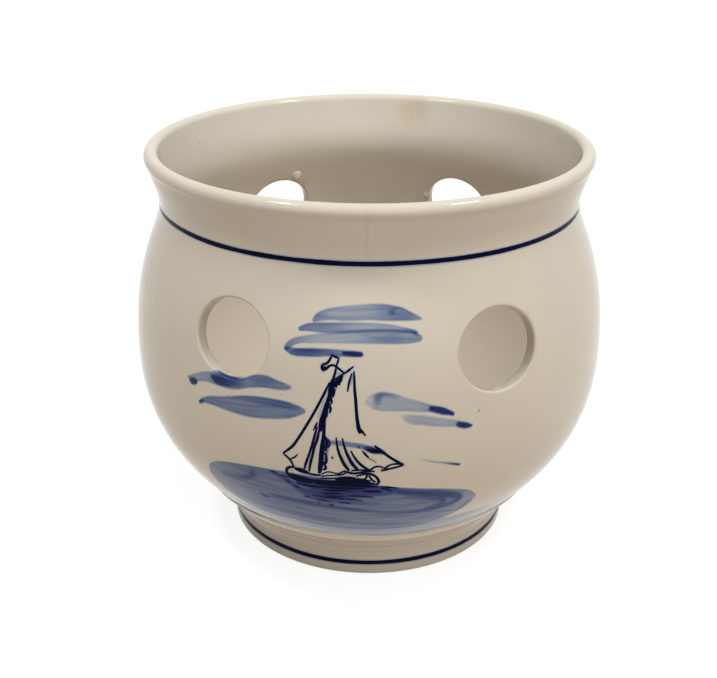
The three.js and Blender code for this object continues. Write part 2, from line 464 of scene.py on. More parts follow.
wall_group = pot.vertex_groups.new(name="turned_wall")
on_wall = [vertex.index for vertex in pot.data.vertices if outside_holes(vertex.co)]
wall_group.add(on_wall, 1.0, "REPLACE")
only(pot)
bpy.ops.object.shade_smooth()
copied = pot.modifiers.new("even normals", "DATA_TRANSFER")
copied.object = whole
copied.use_loop_data = True
copied.data_types_loops = {"CUSTOM_NORMAL"}
copied.loop_mapping = "POLYINTERP_NEAREST"
copied.vertex_group = wall_group.name
bpy.ops.object.modifier_apply(modifier=copied.name)
pot.vertex_groups.clear()
only(whole)
bpy.ops.object.delete()
print("Corners with the wall's own normals:", len(on_wall), "of", len(pot.data.vertices))

# %% [markdown]
# ## The painting plane
#
# The decorator painted with a loaded brush, stroke by stroke, so the painting is kept as strokes: a few
# points, each with the half width of the brush mark there. They are written on the flat, in
# millimetres: across the front, and up from the table. An unwrapped picture would need an image file.
# One function makes a smooth run of samples through the points, and one lays flat places on the wall.

# %% Smooth a stroke and lay it on the wall
SPAN_SAMPLES = 6


def smooth_run(points):
    """Samples of a smooth curve through the points, whatever numbers each point holds."""
    held = np.array(points, float)
    held = np.vstack([2 * held[0] - held[1], held, 2 * held[-1] - held[-2]])
    run = []
    for a, b, c, d in zip(held[:-3], held[1:-2], held[2:-1], held[3:]):
        for t in np.arange(SPAN_SAMPLES) / SPAN_SAMPLES:
            turn = (2 * a - 5 * b + 4 * c - d) * t**2 + (3 * b - a - 3 * c + d) * t**3
            run.append(b + ((c - a) * t + turn) / 2)
    run.append(held[-2])
    return np.array(run)


def lay_on_wall(across, up, proud):
    """Places on the pot and the wall's normals there, for flat places in metres."""
    turn = across / (BELLY["radius"] * MM)
    facing = wall_faces_up(up)
    normal = np.stack(
        [np.sin(turn) * np.cos(facing), -np.cos(turn) * np.cos(facing), np.sin(facing)], axis=1
    )
    radius = wall_radius(up)
    base = np.stack([radius * np.sin(turn), -radius * np.cos(turn), up], axis=1)
    return base + normal * proud[:, None], normal


print("A painted millimetre across is", round(math.degrees(1 / BELLY["radius"]), 3), "degrees of turn")

# %% [markdown]
# ## The washes
#
# Thinned cobalt was put on with a wide soft brush. A wash is pale where the brush was nearly dry, streaky
# along the stroke, a little darker at its rim where the colour pooled, and it ends in a dark dab where
# more colour was touched in. Each point holds: across, up, half width, and tone from 0 to 1.

# %% Choose the strokes of the clouds
CLOUDS = [
    [(-14.6, 91.1, 0.5, 0.56), (-13, 92, 1.1, 0.5), (-10, 92.7, 1.45, 0.42), (-6, 93, 1.8, 0.4),
     (0, 93.4, 1.9, 0.42), (4, 93.3, 1.95, 0.5), (8, 92.9, 1.65, 0.54), (11, 92.2, 1.05, 0.54),
     (13.8, 91.5, 0.4, 0.46)],
    [(5.6, 93.3, 0.5, 0.2), (6.3, 93.3, 0.7, 0.3), (7, 93.8, 0.4, 0.2)],
    [(-18.1, 88.7, 0.6, 0.55), (-16, 89.2, 0.95, 0.54), (-12, 89.4, 1.2, 0.52), (-6, 89.7, 1.2, 0.42),
     (0, 89.9, 1.05, 0.36), (5, 89.8, 0.8, 0.36), (9, 89.2, 0.6, 0.36), (12.4, 88.4, 0.5, 0.4)],
    [(9, 89.3, 0.3, 0.1), (11, 88.8, 0.35, 0.3), (12.4, 88.2, 0.35, 0.45), (13, 87.6, 0.3, 0.2)],
    [(-21.8, 83.5, 0.6, 0.55), (-20.5, 84.9, 0.85, 0.48), (-18, 86, 0.85, 0.42),
     (-14, 86.6, 1.15, 0.36), (-8, 87.2, 1.4, 0.36), (0, 87.6, 1.7, 0.42), (6, 87.5, 1.75, 0.44),
     (10, 87.2, 1.55, 0.42), (13.2, 86.9, 0.9, 0.46)],
    [(-21.4, 83.3, 0.6, 0.5), (-20, 82.9, 0.9, 0.66), (-18, 82.9, 1, 0.74), (-14, 83.2, 1.05, 0.7),
     (-9, 83.5, 0.9, 0.58), (-5, 83.4, 0.75, 0.58), (-2.2, 83.4, 0.65, 0.58)],
    [(-6.3, 83.5, 0.5, 0.7), (-4, 83.4, 0.65, 0.985), (-1.9, 83.3, 0.55, 0.95)],
    [(-52.8, 68.7, 0.6, 0.5), (-50, 69.6, 1, 0.46), (-47, 70.7, 1.35, 0.46), (-44, 71.2, 1.6, 0.48),
     (-40, 71.3, 1.75, 0.54), (-36, 71.6, 1.6, 0.52), (-33, 72.5, 1.4, 0.5), (-30, 73.6, 1.7, 0.6),
     (-27, 74, 1.65, 0.6), (-24, 73.7, 1.3, 0.56), (-21.5, 73.5, 0.9, 0.5), (-20.3, 73.6, 0.5, 0.44)],
    [(-52, 67.9, 0.7, 0.9), (-51.2, 68.1, 1, 0.99), (-50.2, 68.4, 0.75, 0.9)],
    [(-43.9, 71.6, 0.6, 0.7), (-42, 71.2, 1.15, 0.93), (-39.5, 71.2, 1, 0.8), (-37, 71.4, 0.8, 0.5),
     (-33, 72, 0.6, 0.15)],
    [(-43.5, 73.2, 0.2, 0.6), (-40, 73, 0.35, 0.7), (-36, 72.8, 0.3, 0.55), (-33, 73.3, 0.2, 0.3)],
    [(-48.5, 63, 0.4, 0.6), (-47, 63.9, 0.8, 0.56), (-44, 64.7, 1.3, 0.52), (-40, 65.1, 1.9, 0.52),
     (-36, 65.6, 2.5, 0.53), (-32, 66.1, 3, 0.54), (-28, 66.6, 3, 0.54), (-24, 67, 2.75, 0.54),
     (-21, 67.2, 2.3, 0.54), (-18.5, 67.5, 1.5, 0.52), (-16.9, 67.5, 0.8, 0.48)],
    [(-36, 67.9, 0.5, 0.1), (-31, 68.4, 0.9, 0.24), (-26, 68.8, 1, 0.3), (-21, 68.5, 0.9, 0.26),
     (-18, 67.9, 0.6, 0.1)],
    [(-48.9, 62.7, 0.35, 0.7), (-48.2, 63.2, 0.5, 0.7), (-47.4, 63.8, 0.4, 0.3)],
    [(0.9, 71.2, 1.7, 0.24), (3, 71.2, 2.5, 0.34), (6, 70.9, 2.4, 0.36), (9, 70.2, 1.9, 0.36),
     (13, 69.3, 1.4, 0.38), (16, 68.5, 1, 0.45), (19, 67.5, 0.95, 0.5), (21.6, 66.5, 0.5, 0.5)],
    [(16.1, 68.5, 0.65, 0.9), (19, 67.5, 0.9, 0.96), (21.9, 66.2, 0.45, 0.98)],
    [(8.8, 66.9, 0.5, 0.22), (11, 65.9, 1.3, 0.32), (14, 65.4, 1.35, 0.34), (18, 64.4, 1.3, 0.33),
     (22, 63.6, 1, 0.36), (25, 62.5, 0.9, 0.45), (27.1, 62, 0.4, 0.4)],
    [(23.6, 63.1, 0.6, 0.85), (25.3, 62.4, 0.85, 0.96), (27.1, 62, 0.4, 0.93)],
    [(13.8, 53.9, 0.2, 0.25), (17, 52.8, 0.3, 0.34), (20.5, 51.8, 0.3, 0.38), (24.5, 50.5, 0.3, 0.45)],
    [(20.8, 51.7, 0.2, 0.2), (23, 51, 0.32, 0.66), (24.7, 50.5, 0.25, 0.75)],
]
SOFT_CLOUDS = [
    [(2, 69.9, 0.6, 0.1), (2.2, 71.5, 0.9, 0.34), (2.9, 72.9, 0.7, 0.42), (5, 73, 0.4, 0.34),
     (7.4, 72.2, 0.2, 0.2)],
    [(-14, 89.2, 0.1, 0.1), (-4, 88.9, 0.2, 0.16), (4, 88.9, 0.2, 0.18), (10, 88.6, 0.2, 0.16)],
    [(0, 93, 0.2, 0.05), (5, 93.2, 0.6, 0.14), (9, 92.5, 0.5, 0.16), (12, 92, 0.2, 0.05)],
    [(-3, 88.4, 0.2, 0.05), (3, 87.2, 0.5, 0.15), (8, 87, 0.5, 0.15), (12, 87.1, 0.2, 0.1)],
]
print("Cloud strokes:", len(CLOUDS) + len(SOFT_CLOUDS))

# %% Choose the strokes of the sea
SEA_BODY = [
    [(-48.8, 39.0, 2.0, 0.47), (-45, 37.8, 6.5, 0.52), (-40, 37.2, 9.0, 0.56), (-34, 37.1, 10.2, 0.6),
     (-26, 37.7, 10.4, 0.61), (-18, 37.2, 10.9, 0.61), (-10, 36.5, 10.9, 0.6), (0, 35.7, 10.5, 0.59),
     (8, 35.1, 9.7, 0.58), (16, 34.8, 8.7, 0.57), (22, 35.1, 7.1, 0.53), (27, 35.6, 5.1, 0.46),
     (31, 36.2, 2.0, 0.4)],
]
SEA_STROKES = [
    [(-46.5, 40.0, 0.6, 0.1), (-43, 40.9, 1.0, 0.36), (-39, 41.4, 0.9, 0.36), (-35.5, 42.6, 0.8, 0.5),
     (-33.4, 44.4, 0.9, 0.55), (-32.6, 46.2, 0.6, 0.3)],
    [(1, 45.0, 0.4, 0.5), (8, 43.4, 0.8, 0.7), (14, 42.1, 1.0, 0.74), (20, 40.8, 1.1, 0.76),
     (25, 39.2, 1.2, 0.78), (27, 37.5, 1.1, 0.74), (25, 35.8, 0.9, 0.7), (20, 34.8, 0.8, 0.7),
     (14, 34.2, 0.6, 0.62), (6, 34.8, 0.4, 0.55), (0, 35.6, 0.4, 0.6), (-8, 36.5, 0.6, 0.7),
     (-18, 37.4, 0.7, 0.76), (-26, 37.8, 0.5, 0.66), (-30, 37.6, 0.2, 0.4)],
    [(10, 41.2, 0.4, 0.2), (17, 39.6, 0.5, 0.4), (21.8, 38.2, 0.9, 0.66), (21.3, 36.4, 0.8, 0.6),
     (17, 35.6, 0.3, 0.4)],
    [(-26, 47.0, 0.4, 0.5), (-22, 45.0, 0.8, 0.6), (-18, 41.8, 1.0, 0.56), (-14, 39.9, 1.0, 0.54),
     (-6, 39.2, 0.8, 0.45), (3, 38.9, 0.4, 0.3)],
    [(-44, 33.2, 0.4, 0.25), (-36, 31.4, 1.0, 0.38), (-26, 31.0, 1.4, 0.46), (-14, 30.4, 1.4, 0.44),
     (-4, 29.2, 1.0, 0.4), (6, 28.4, 0.8, 0.34), (16, 28.0, 0.5, 0.22)],
    [(-36, 33.6, 0.3, 0.14), (-28, 34.4, 0.5, 0.3), (-18, 33.8, 0.4, 0.2)],
    [(-38, 27.8, 0.8, 0.2), (-28, 26.0, 1.6, 0.42), (-12, 24.8, 2.0, 0.5), (4, 24.4, 2.0, 0.5),
     (16, 25.0, 1.8, 0.45), (27, 27.4, 0.9, 0.25)],
]
DEEP_WATER = [
    [(-19.4, 45.6, 0.5, 0.75), (-14, 45.2, 1, 0.9), (-8, 44.9, 1.4, 0.95), (-2, 45, 1.1, 0.93),
     (2.4, 45.2, 0.5, 0.85)],
    [(-19.4, 44.5, 0.3, 0.5), (-15, 44, 0.7, 0.75), (-10.5, 43.4, 1.3, 0.92), (-6, 43.6, 1, 0.9),
     (-1, 43.8, 0.6, 0.8), (3.2, 43.7, 0.4, 0.85)],
    [(-18, 42.8, 0.6, 0.5), (-14, 42.4, 1.4, 0.7), (-6, 42.5, 1.6, 0.65), (0, 42.8, 1.1, 0.6),
     (6, 42.8, 0.6, 0.4)],
    [(-14.6, 41.6, 0.3, 0.5), (-12, 41.7, 0.9, 0.85), (-9.5, 41.6, 1.1, 0.93), (-6.6, 41.5, 0.6, 0.8),
     (-3, 41.8, 0.3, 0.5)],
    [(-16, 40.8, 0.2, 0.4), (-12, 40.7, 0.4, 0.7), (-7, 40.6, 0.4, 0.75), (-3, 40.3, 0.3, 0.5)],
    [(-15, 39.8, 0.2, 0.3), (-12.4, 39.2, 0.4, 0.45), (-10.6, 38.8, 0.2, 0.2)],
]
print("Sea strokes:", len(SEA_BODY) + len(SEA_STROKES) + len(DEEP_WATER))

# %% Choose the small marks and the shade on the sails
SMALL_MARKS = [
    [(-49.4, 38.2, 0.2, 0.2), (-47.4, 35.4, 0.35, 0.32), (-43.6, 32.4, 0.35, 0.3),
     (-38.6, 30.2, 0.3, 0.22)],
    [(-39, 30.8, 0.3, 0.2), (-37.5, 30.3, 0.45, 0.36), (-36.2, 30.2, 0.2, 0.15)],
    [(31.4, 36.4, 0.2, 0.15), (30.2, 33.6, 0.35, 0.35), (28.2, 31.6, 0.25, 0.2)],
    [(15, 33.6, 0.2, 0.12), (20, 33, 0.3, 0.26), (25, 32.2, 0.3, 0.28), (28.6, 31.2, 0.2, 0.12)],
    [(-32.4, 37.3, 0.4, 0.8), (-31.4, 36.7, 0.75, 0.94), (-30.3, 36.4, 0.3, 0.7)],
    [(-30, 36.9, 0.1, 0.4), (-26, 37, 0.2, 0.35), (-21, 36.6, 0.15, 0.2)],
    [(28.9, 65.6, 0.1, 0.8), (29.3, 65.9, 0.1, 0.7)],
]
SHADED_SAILS = [
    [(-10.4, 59.2, 0.6, 0.4), (-8, 59.3, 0.7, 0.46), (-4, 58.9, 0.75, 0.5), (-1, 58.4, 0.7, 0.56),
     (1, 57.8, 0.7, 0.66)],
    [(-0.6, 57.9, 0.5, 0.66), (1.2, 57.3, 0.9, 0.94), (2.8, 57, 0.7, 0.94), (3.9, 56.6, 0.35, 0.8)],
    [(-7.2, 58.6, 0.4, 0.12), (-6.5, 55.6, 0.5, 0.14), (-5, 52.4, 0.35, 0.2)],
    [(-5.4, 57.6, 0.3, 0.1), (-4.2, 54.6, 0.4, 0.14), (-2.7, 52, 0.3, 0.2)],
    [(-9.9, 75, 0.3, 0.2), (-11.3, 70.8, 0.35, 0.24), (-12.9, 66.2, 0.3, 0.24)],
    [(-13.3, 62, 0.2, 0.3), (-14.3, 58, 0.25, 0.28), (-15.9, 52.4, 0.3, 0.24), (-16.3, 50.4, 0.3, 0.2)],
    [(-12.7, 60, 0.2, 0.14), (-13.5, 55, 0.4, 0.14), (-14.4, 50.2, 0.4, 0.16)],
    [(-11.8, 79.6, 0.3, 0.5), (-10.7, 80.4, 0.3, 0.34)],
    [(-8.3, 78.6, 0.2, 0.34), (-7.4, 78.2, 0.3, 0.34)],
    [(-3.9, 78.4, 0.25, 0.45), (-4.2, 76.6, 0.25, 0.3), (-4.6, 74.6, 0.15, 0.1)],
    [(-10.5, 60, 0.4, 0.6), (-10.6, 57, 0.3, 0.5), (-11, 54, 0.3, 0.5)],
    [(-21.2, 49.2, 0.4, 0.2), (-20.6, 49, 0.4, 0.2)],
    [(-11, 48, 0.3, 0.2), (-8, 48.5, 0.3, 0.2), (-5.6, 49.4, 0.4, 0.15), (-3.4, 49.6, 0.3, 0.15)],
]
print("Small washes:", len(SMALL_MARKS) + len(SHADED_SAILS))

# %% [markdown]
# ## The ink
#
# The boat was drawn over the washes with a fine liner and full-strength cobalt, nearly black where it is
# thick. Each point holds: across, up, and half width. The order is the order of the drawing: rigging and
# sails, the ragged side of the mast, the hull, and last the broken reflection in the water.

# %% Choose the lines of the rigging and the sails
RIGGING = [
    [(-8.2, 80.2, 0.3), (-7.9, 81.2, 0.28), (-7.6, 82.3, 0.3)],
    [(-7.6, 82.3, 0.35), (-8.5, 82.5, 0.3), (-9.5, 83, 0.35)],
    [(-9.4, 82.9, 0.35), (-9.9, 81.8, 0.3), (-10.6, 80.9, 0.32), (-12, 80.3, 0.4)],
    [(-12, 80.3, 0.4), (-11.9, 79.5, 0.38), (-11.7, 78.8, 0.4)],
    [(-11.7, 78.8, 0.4), (-10.8, 79.4, 0.32), (-9.7, 80.3, 0.28), (-8.7, 80.3, 0.28),
     (-7.5, 79.5, 0.28), (-6.1, 78.5, 0.35)],
    [(-11.9, 80.1, 0.2), (-11.3, 79.6, 0.35), (-10.9, 79.9, 0.2)],
    [(-6.2, 78.4, 0.35), (-5, 79.3, 0.3), (-3.8, 80.3, 0.28)],
    [(-6.1, 78.5, 0.35), (-7.3, 77.6, 0.3), (-8.6, 76.7, 0.45)],
    [(-8.2, 80.3, 0.3), (-8.5, 78.6, 0.32), (-9, 76.8, 0.5)],
    [(-8.9, 77, 0.55), (-9.2, 75.6, 0.68), (-9.5, 74, 0.66), (-9.8, 72.4, 0.5), (-10.3, 70.8, 0.48),
     (-10.7, 69.2, 0.6), (-11.1, 67.4, 0.74), (-11.7, 65.6, 0.7), (-12.1, 63.8, 0.6),
     (-12.4, 62.2, 0.5)],
    [(-11, 66.4, 0.4), (-11.3, 63.8, 0.42), (-11.4, 61.4, 0.42), (-11.7, 59, 0.52), (-12, 56.4, 0.6),
     (-12.3, 53.6, 0.62), (-12.7, 50.8, 0.6), (-13, 49.2, 0.5)],
    [(-9.9, 75.9, 0.35), (-11.2, 73, 0.3), (-12.6, 70, 0.32), (-14.2, 66.8, 0.32), (-16, 63.4, 0.33),
     (-17.8, 60.2, 0.33), (-19.9, 56.9, 0.35), (-21.2, 55.6, 0.33), (-22.6, 54.3, 0.4)],
    [(-22.6, 54.3, 0.4), (-21.4, 53.2, 0.32), (-20.6, 52.2, 0.32), (-19.9, 50.4, 0.4)],
    [(-20.8, 52.9, 0.25), (-19.8, 53.3, 0.25), (-18.5, 54.7, 0.25)],
    [(-13, 64.9, 0.25), (-13.4, 63.9, 0.28), (-14.1, 62.4, 0.22)],
    [(-13.1, 63.6, 0.35), (-13.8, 60.8, 0.32), (-14.6, 57.8, 0.3), (-15.6, 54.6, 0.3),
     (-16.5, 52, 0.32), (-17, 50.2, 0.4)],
    [(-12.5, 63, 0.4), (-13, 60.4, 0.35), (-13.9, 57.6, 0.33), (-14.6, 54.6, 0.33), (-15.3, 51.8, 0.33),
     (-15.7, 49.6, 0.4)],
    [(-3.7, 79.2, 0.25), (-3.6, 77.4, 0.28), (-3.5, 74.6, 0.33), (-3.2, 71.4, 0.38), (-3, 68.2, 0.38),
     (-2.7, 65.4, 0.42), (-2.4, 63.6, 0.5), (-2.1, 62.3, 0.5)],
    [(-2.4, 63.9, 0.35), (-1.6, 62.9, 0.35), (-0.7, 61.7, 0.35)],
    [(-4.2, 78.6, 0.25), (-4.8, 76.6, 0.28), (-5.1, 75, 0.25), (-5.3, 73.7, 0.3)],
    [(-8.2, 60.9, 0.3), (-7.8, 57.4, 0.3), (-7.1, 55, 0.38), (-6.2, 52.8, 0.44), (-5, 50.9, 0.6)],
    [(-6.6, 60.8, 0.3), (-6, 57.8, 0.3), (-5, 55, 0.4), (-4, 52.9, 0.46), (-2.7, 51.2, 0.6)],
    [(-4.5, 57.2, 0.3), (-3.2, 54.6, 0.32), (-1.7, 52.7, 0.38), (0.3, 51.1, 0.5)],
    [(1.6, 58.8, 0.35), (2.8, 57.7, 0.4), (4.2, 56.4, 0.38), (5.8, 55, 0.35), (7.4, 53.8, 0.38),
     (9.2, 52.6, 0.5)],
    [(9.2, 52.6, 0.5), (7.6, 52, 0.3), (6, 51.6, 0.28), (4.4, 51.2, 0.32), (3.3, 51, 0.5)],
    [(8.6, 52.9, 0.4), (7.2, 53, 0.28), (5.8, 52.8, 0.26), (4.8, 52.1, 0.3), (4, 51.5, 0.4)],
    [(4, 52, 0.35), (3, 52.3, 0.26), (2, 52.3, 0.26), (1.2, 51.8, 0.28), (0.4, 51, 0.4)],
    [(-1.6, 57.3, 0.25), (-0.9, 56.4, 0.3), (-0.2, 55.5, 0.28), (0.3, 54.9, 0.25)],
    [(0.5, 54.7, 0.25), (0.9, 54.5, 0.25)],
    [(1.2, 54.3, 0.25), (1.5, 54.15, 0.25)],
    [(1.8, 53.95, 0.25), (2.1, 53.75, 0.3)],
    [(-0.3, 57.6, 0.4), (1.2, 57.3, 0.6), (2.6, 57.1, 0.55), (3.8, 56.7, 0.4)],
    [(-2.7, 58.5, 0.25), (-2.2, 58.3, 0.35)],
    [(-9.4, 55.1, 0.3), (-9.2, 54.4, 0.4)],
]
MAST_HATCHING = [
    [(-6.6, 77.9, 0.4), (-7.1, 76.8, 0.5), (-7.5, 75.8, 0.42), (-7.2, 75.4, 0.3)],
    [(-7.6, 77, 0.5), (-8.2, 75.6, 0.55), (-8.3, 74.6, 0.4)],
    [(-8.5, 74.4, 0.4), (-8.8, 73, 0.34), (-9.1, 71.9, 0.3)],
    [(-9.5, 71.9, 0.4), (-9.3, 70.8, 0.3), (-9.6, 70.1, 0.25)],
    [(-10, 70.3, 0.4), (-9.6, 68.9, 0.34), (-9.8, 67.7, 0.35)],
    [(-10.6, 68, 0.4), (-10.5, 66.7, 0.4)],
    [(-11, 61, 0.4), (-10.6, 59.6, 0.36), (-10.8, 58.2, 0.36), (-11, 56.6, 0.4)],
    [(-10.2, 60.3, 0.25), (-9.9, 59.4, 0.22), (-10, 58.3, 0.28), (-10.4, 57.7, 0.25)],
    [(-11.1, 56.2, 0.4), (-10.9, 54.6, 0.36), (-11.1, 53, 0.4), (-11.5, 52.6, 0.4)],
    [(-11.8, 53.4, 0.4), (-11.3, 52, 0.36), (-11.2, 51.1, 0.36), (-11.9, 50.5, 0.4)],
]
print("Lines of rigging and sails:", len(RIGGING) + len(MAST_HATCHING))

# %% Choose the lines of the hull and the reflection
HULL = [
    [(-19.6, 50.3, 0.5), (-21.2, 50, 0.38), (-22.1, 48.9, 0.38), (-21.8, 47.5, 0.45),
     (-20.4, 46.4, 0.5), (-18, 45.9, 0.5), (-15, 45.7, 0.5)],
    [(-19.7, 49.9, 0.6), (-18.2, 49.6, 0.75), (-16.8, 49.2, 0.65), (-15.6, 48.8, 0.5)],
    [(-21.2, 47.7, 0.5), (-19.4, 47.2, 0.55), (-17.4, 46.8, 0.6), (-15, 46.5, 0.5), (-12.6, 46.8, 0.6)],
    [(-15.9, 48.7, 0.5), (-14.4, 48.6, 0.36), (-12.6, 48.6, 0.5)],
    [(-12.4, 49, 0.3), (-11.4, 49.7, 0.2), (-10.2, 50.05, 0.22), (-8.9, 49.8, 0.2), (-7.6, 49.8, 0.22),
     (-6.8, 50.3, 0.25), (-5.9, 50.8, 0.4)],
    [(-12.4, 48.3, 0.4), (-10.6, 48.8, 0.2), (-8.6, 49.1, 0.22), (-7, 49.4, 0.25), (-5.8, 50, 0.3)],
    [(-12.8, 47.6, 0.4), (-10.8, 47.8, 0.22), (-8.6, 48, 0.24), (-7, 48.4, 0.3), (-5.2, 48.6, 0.32),
     (-3.4, 48.5, 0.4)],
    [(-8.8, 47.5, 0.4), (-6.4, 47.8, 0.6), (-3.6, 47.8, 0.6), (-1.2, 47.7, 0.5), (0.6, 47.4, 0.5)],
    [(-16, 46.3, 0.4), (-12, 46.5, 0.5), (-8, 46.7, 0.55), (-4, 46.8, 0.58), (0, 46.7, 0.5),
     (2, 46.4, 0.4)],
    [(-14.6, 45.7, 0.5), (-10, 45.7, 0.5), (-4, 45.8, 0.5), (0, 45.7, 0.45), (2.6, 45.4, 0.4)],
    [(-3.2, 49.1, 0.35), (-2, 49.5, 0.28), (-0.6, 49.9, 0.3), (0.6, 49.9, 0.35), (1.8, 49.2, 0.36),
     (2.6, 48.1, 0.36), (2.8, 47, 0.36), (2.1, 46.1, 0.5)],
    [(-3, 48.4, 0.35), (-2, 48.1, 0.25), (-0.8, 48.3, 0.25), (-0.35, 49.2, 0.3), (-0.3, 49.8, 0.4)],
    [(0.2, 49.5, 0.4), (0.6, 48.6, 0.28), (1.3, 47.6, 0.32), (2, 47.1, 0.4)],
    [(-6.6, 50.5, 0.35), (-5.2, 50.3, 0.36), (-4, 50, 0.34), (-2.6, 50.2, 0.34), (-1.2, 50.5, 0.36),
     (0.2, 50.8, 0.32), (1.8, 50.7, 0.35)],
    [(-4.4, 50.9, 0.4), (-3, 51.1, 0.28), (-1.6, 51.2, 0.26), (0.2, 51.1, 0.35)],
]
REFLECTION = [
    [(-19.8, 44.9, 0.3), (-17.6, 44.6, 0.35), (-15.2, 44.4, 0.35), (-12.4, 44.3, 0.4)],
    [(-13.4, 44.7, 0.4), (-9.6, 44.6, 0.45), (-5, 44.8, 0.4), (-0.6, 44.8, 0.4)],
    [(3.4, 45.4, 0.35), (5.4, 45.15, 0.34), (8.1, 44.7, 0.35)],
    [(3.4, 44.9, 0.35), (4.8, 44.5, 0.32), (6.6, 43.8, 0.35)],
    [(-12.4, 43.5, 0.35), (-9.8, 43.5, 0.4), (-6.8, 43.8, 0.3), (-3.6, 43.8, 0.25)],
    [(-1.6, 43.7, 0.4), (0.6, 43.7, 0.42), (3.4, 43.7, 0.5)],
    [(-13.2, 42.2, 0.3), (-10.2, 42.3, 0.38), (-7.2, 42.5, 0.3)],
    [(-12.2, 41.3, 0.3), (-9.8, 41.3, 0.34), (-6.6, 41.5, 0.25)],
]
FAINT_REFLECTION = [
    [(-20.9, 43.6, 0.25), (-19.6, 43.3, 0.25), (-18.4, 43, 0.2)],
    [(-5.6, 41.8, 0.3), (-3.4, 41.9, 0.26), (-0.8, 41.8, 0.26), (1.3, 41.4, 0.35)],
    [(-15.6, 41, 0.25), (-12.6, 40.7, 0.28), (-9, 40.6, 0.3), (-5.4, 40.5, 0.26), (-1.6, 40.1, 0.3)],
    [(-18.3, 40, 0.2), (-17.4, 40.1, 0.25), (-16.4, 39.9, 0.2)],
    [(-14.6, 39.5, 0.25), (-12.8, 39.3, 0.24), (-11, 39.1, 0.2)],
    [(-8.2, 38.9, 0.3), (-6.8, 38.9, 0.24), (-5.2, 38.7, 0.4)],
    [(-14.2, 38.4, 0.3), (-13.8, 38.1, 0.35)],
    [(-11.1, 37.7, 0.35), (-10.5, 37.6, 0.38), (-9.9, 37.7, 0.35)],
    [(-27.4, 47.3, 0.2), (-26.2, 47.3, 0.28), (-25, 46.9, 0.2)],
    [(-24.2, 46.8, 0.2), (-22.9, 46.7, 0.25), (-21.8, 46.3, 0.2)],
    [(-22.9, 45.2, 0.2), (-22, 44.9, 0.24), (-21.2, 44.9, 0.2)],
]
print("Lines of the hull:", len(HULL), "- of the water:", len(REFLECTION) + len(FAINT_REFLECTION))

# %% [markdown]
# ## Soaking the washes into the wall
#
# Under glaze a wash has no thickness, so it isn't modelled. It is one number, the tone, at each corner of
# the fine front, which the glaze's material then turns into cobalt. Strokes that cross are multiplied
# together as real washes are. A faint halo follows every ink line, because cobalt bleeds in the glaze.
# A crisp stroke has streaks along it and a rim that is a little darker. A wet one has neither, and its edge
# is as soft as the number for it says, in millimetres.

# %% Measure the corners of the wall
def note(piece, name, values):
    """Keeps one number for each corner of a piece, under a name that its material can read."""
    kept = piece.data.attributes.new(name, "FLOAT", "POINT")
    kept.data.foreach_set("value", values.astype(np.float32))


corner_places = np.array([vertex.co for vertex in pot.data.vertices])
corner_across = np.arctan2(corner_places[:, 0], -corner_places[:, 1]) * BELLY["radius"]
corner_up = corner_places[:, 2] / MM
corner_depth = np.hypot(corner_places[:, 0], corner_places[:, 1]) - wall_radius(corner_places[:, 2])
on_outside = corner_depth > -HOLE_ROUND * MM
clear = np.ones(len(corner_places))
note(pot, "outer_face", on_outside)
print("Corners on the outside:", int(on_outside.sum()))

# %% Soak one stroke into the corners
CRISP, WET, VERY_WET = 0.35, 0.6, 0.9
MOST_TONE = 0.995
RIM_WIDTH = 0.45
RIM_DARKER = 0.25
STREAK_LENGTH = 11.0
STREAK_WIDTH = 0.9
STREAK_DEPTH = 0.22


def soak(points, edge, number):
    """Multiplies one stroke into what is still clear. A crisp one has streaks and a darker rim."""
    run = smooth_run(points)
    reach = run[:, 2].max() + edge
    low, high = run[:, :2].min(0) - reach, run[:, :2].max(0) + reach
    in_turn = (corner_across > low[0]) & (corner_across < high[0])
    in_height = (corner_up > low[1]) & (corner_up < high[1])
    near = np.flatnonzero(on_outside & in_turn & in_height)
    spot = np.stack([corner_across[near], corner_up[near]], axis=1)
    start, way = run[:-1, :2], np.diff(run[:, :2], axis=0)
    offset = spot[:, None] - start
    share = np.clip((offset * way).sum(2) / ((way**2).sum(1) + NEVER_ZERO), 0, 1)
    miss = np.linalg.norm(offset - share[..., None] * way, axis=2)
    inside = run[:-1, 2] + share * np.diff(run[:, 2]) - miss
    tones = run[:-1, 3] + share * np.diff(run[:, 3])
    best = inside.argmax(axis=1)[:, None]
    inside = np.take_along_axis(inside, best, 1)[:, 0]
    tone = np.take_along_axis(tones, best, 1)[:, 0]
    cover = np.clip((inside + edge) / (2 * edge), 0, 1)
    if edge == CRISP:
        chord = run[-1, :2] - run[0, :2]
        chord /= np.linalg.norm(chord)
        along = spot @ chord / STREAK_LENGTH
        aside = spot @ (-chord[1], chord[0]) / STREAK_WIDTH
        streak = [noise.noise(Vector((a, s, number))) for a, s in zip(along, aside)]
        rim = np.exp(-((inside / RIM_WIDTH) ** 2))
        tone = tone * (1 + STREAK_DEPTH * np.array(streak) + RIM_DARKER * rim)
    clear[near] *= 1 - np.clip(tone, 0, MOST_TONE) * cover * cover * (3 - 2 * cover)


print("Softness of a crisp, a wet and a very wet edge:", CRISP, WET, VERY_WET, "mm")

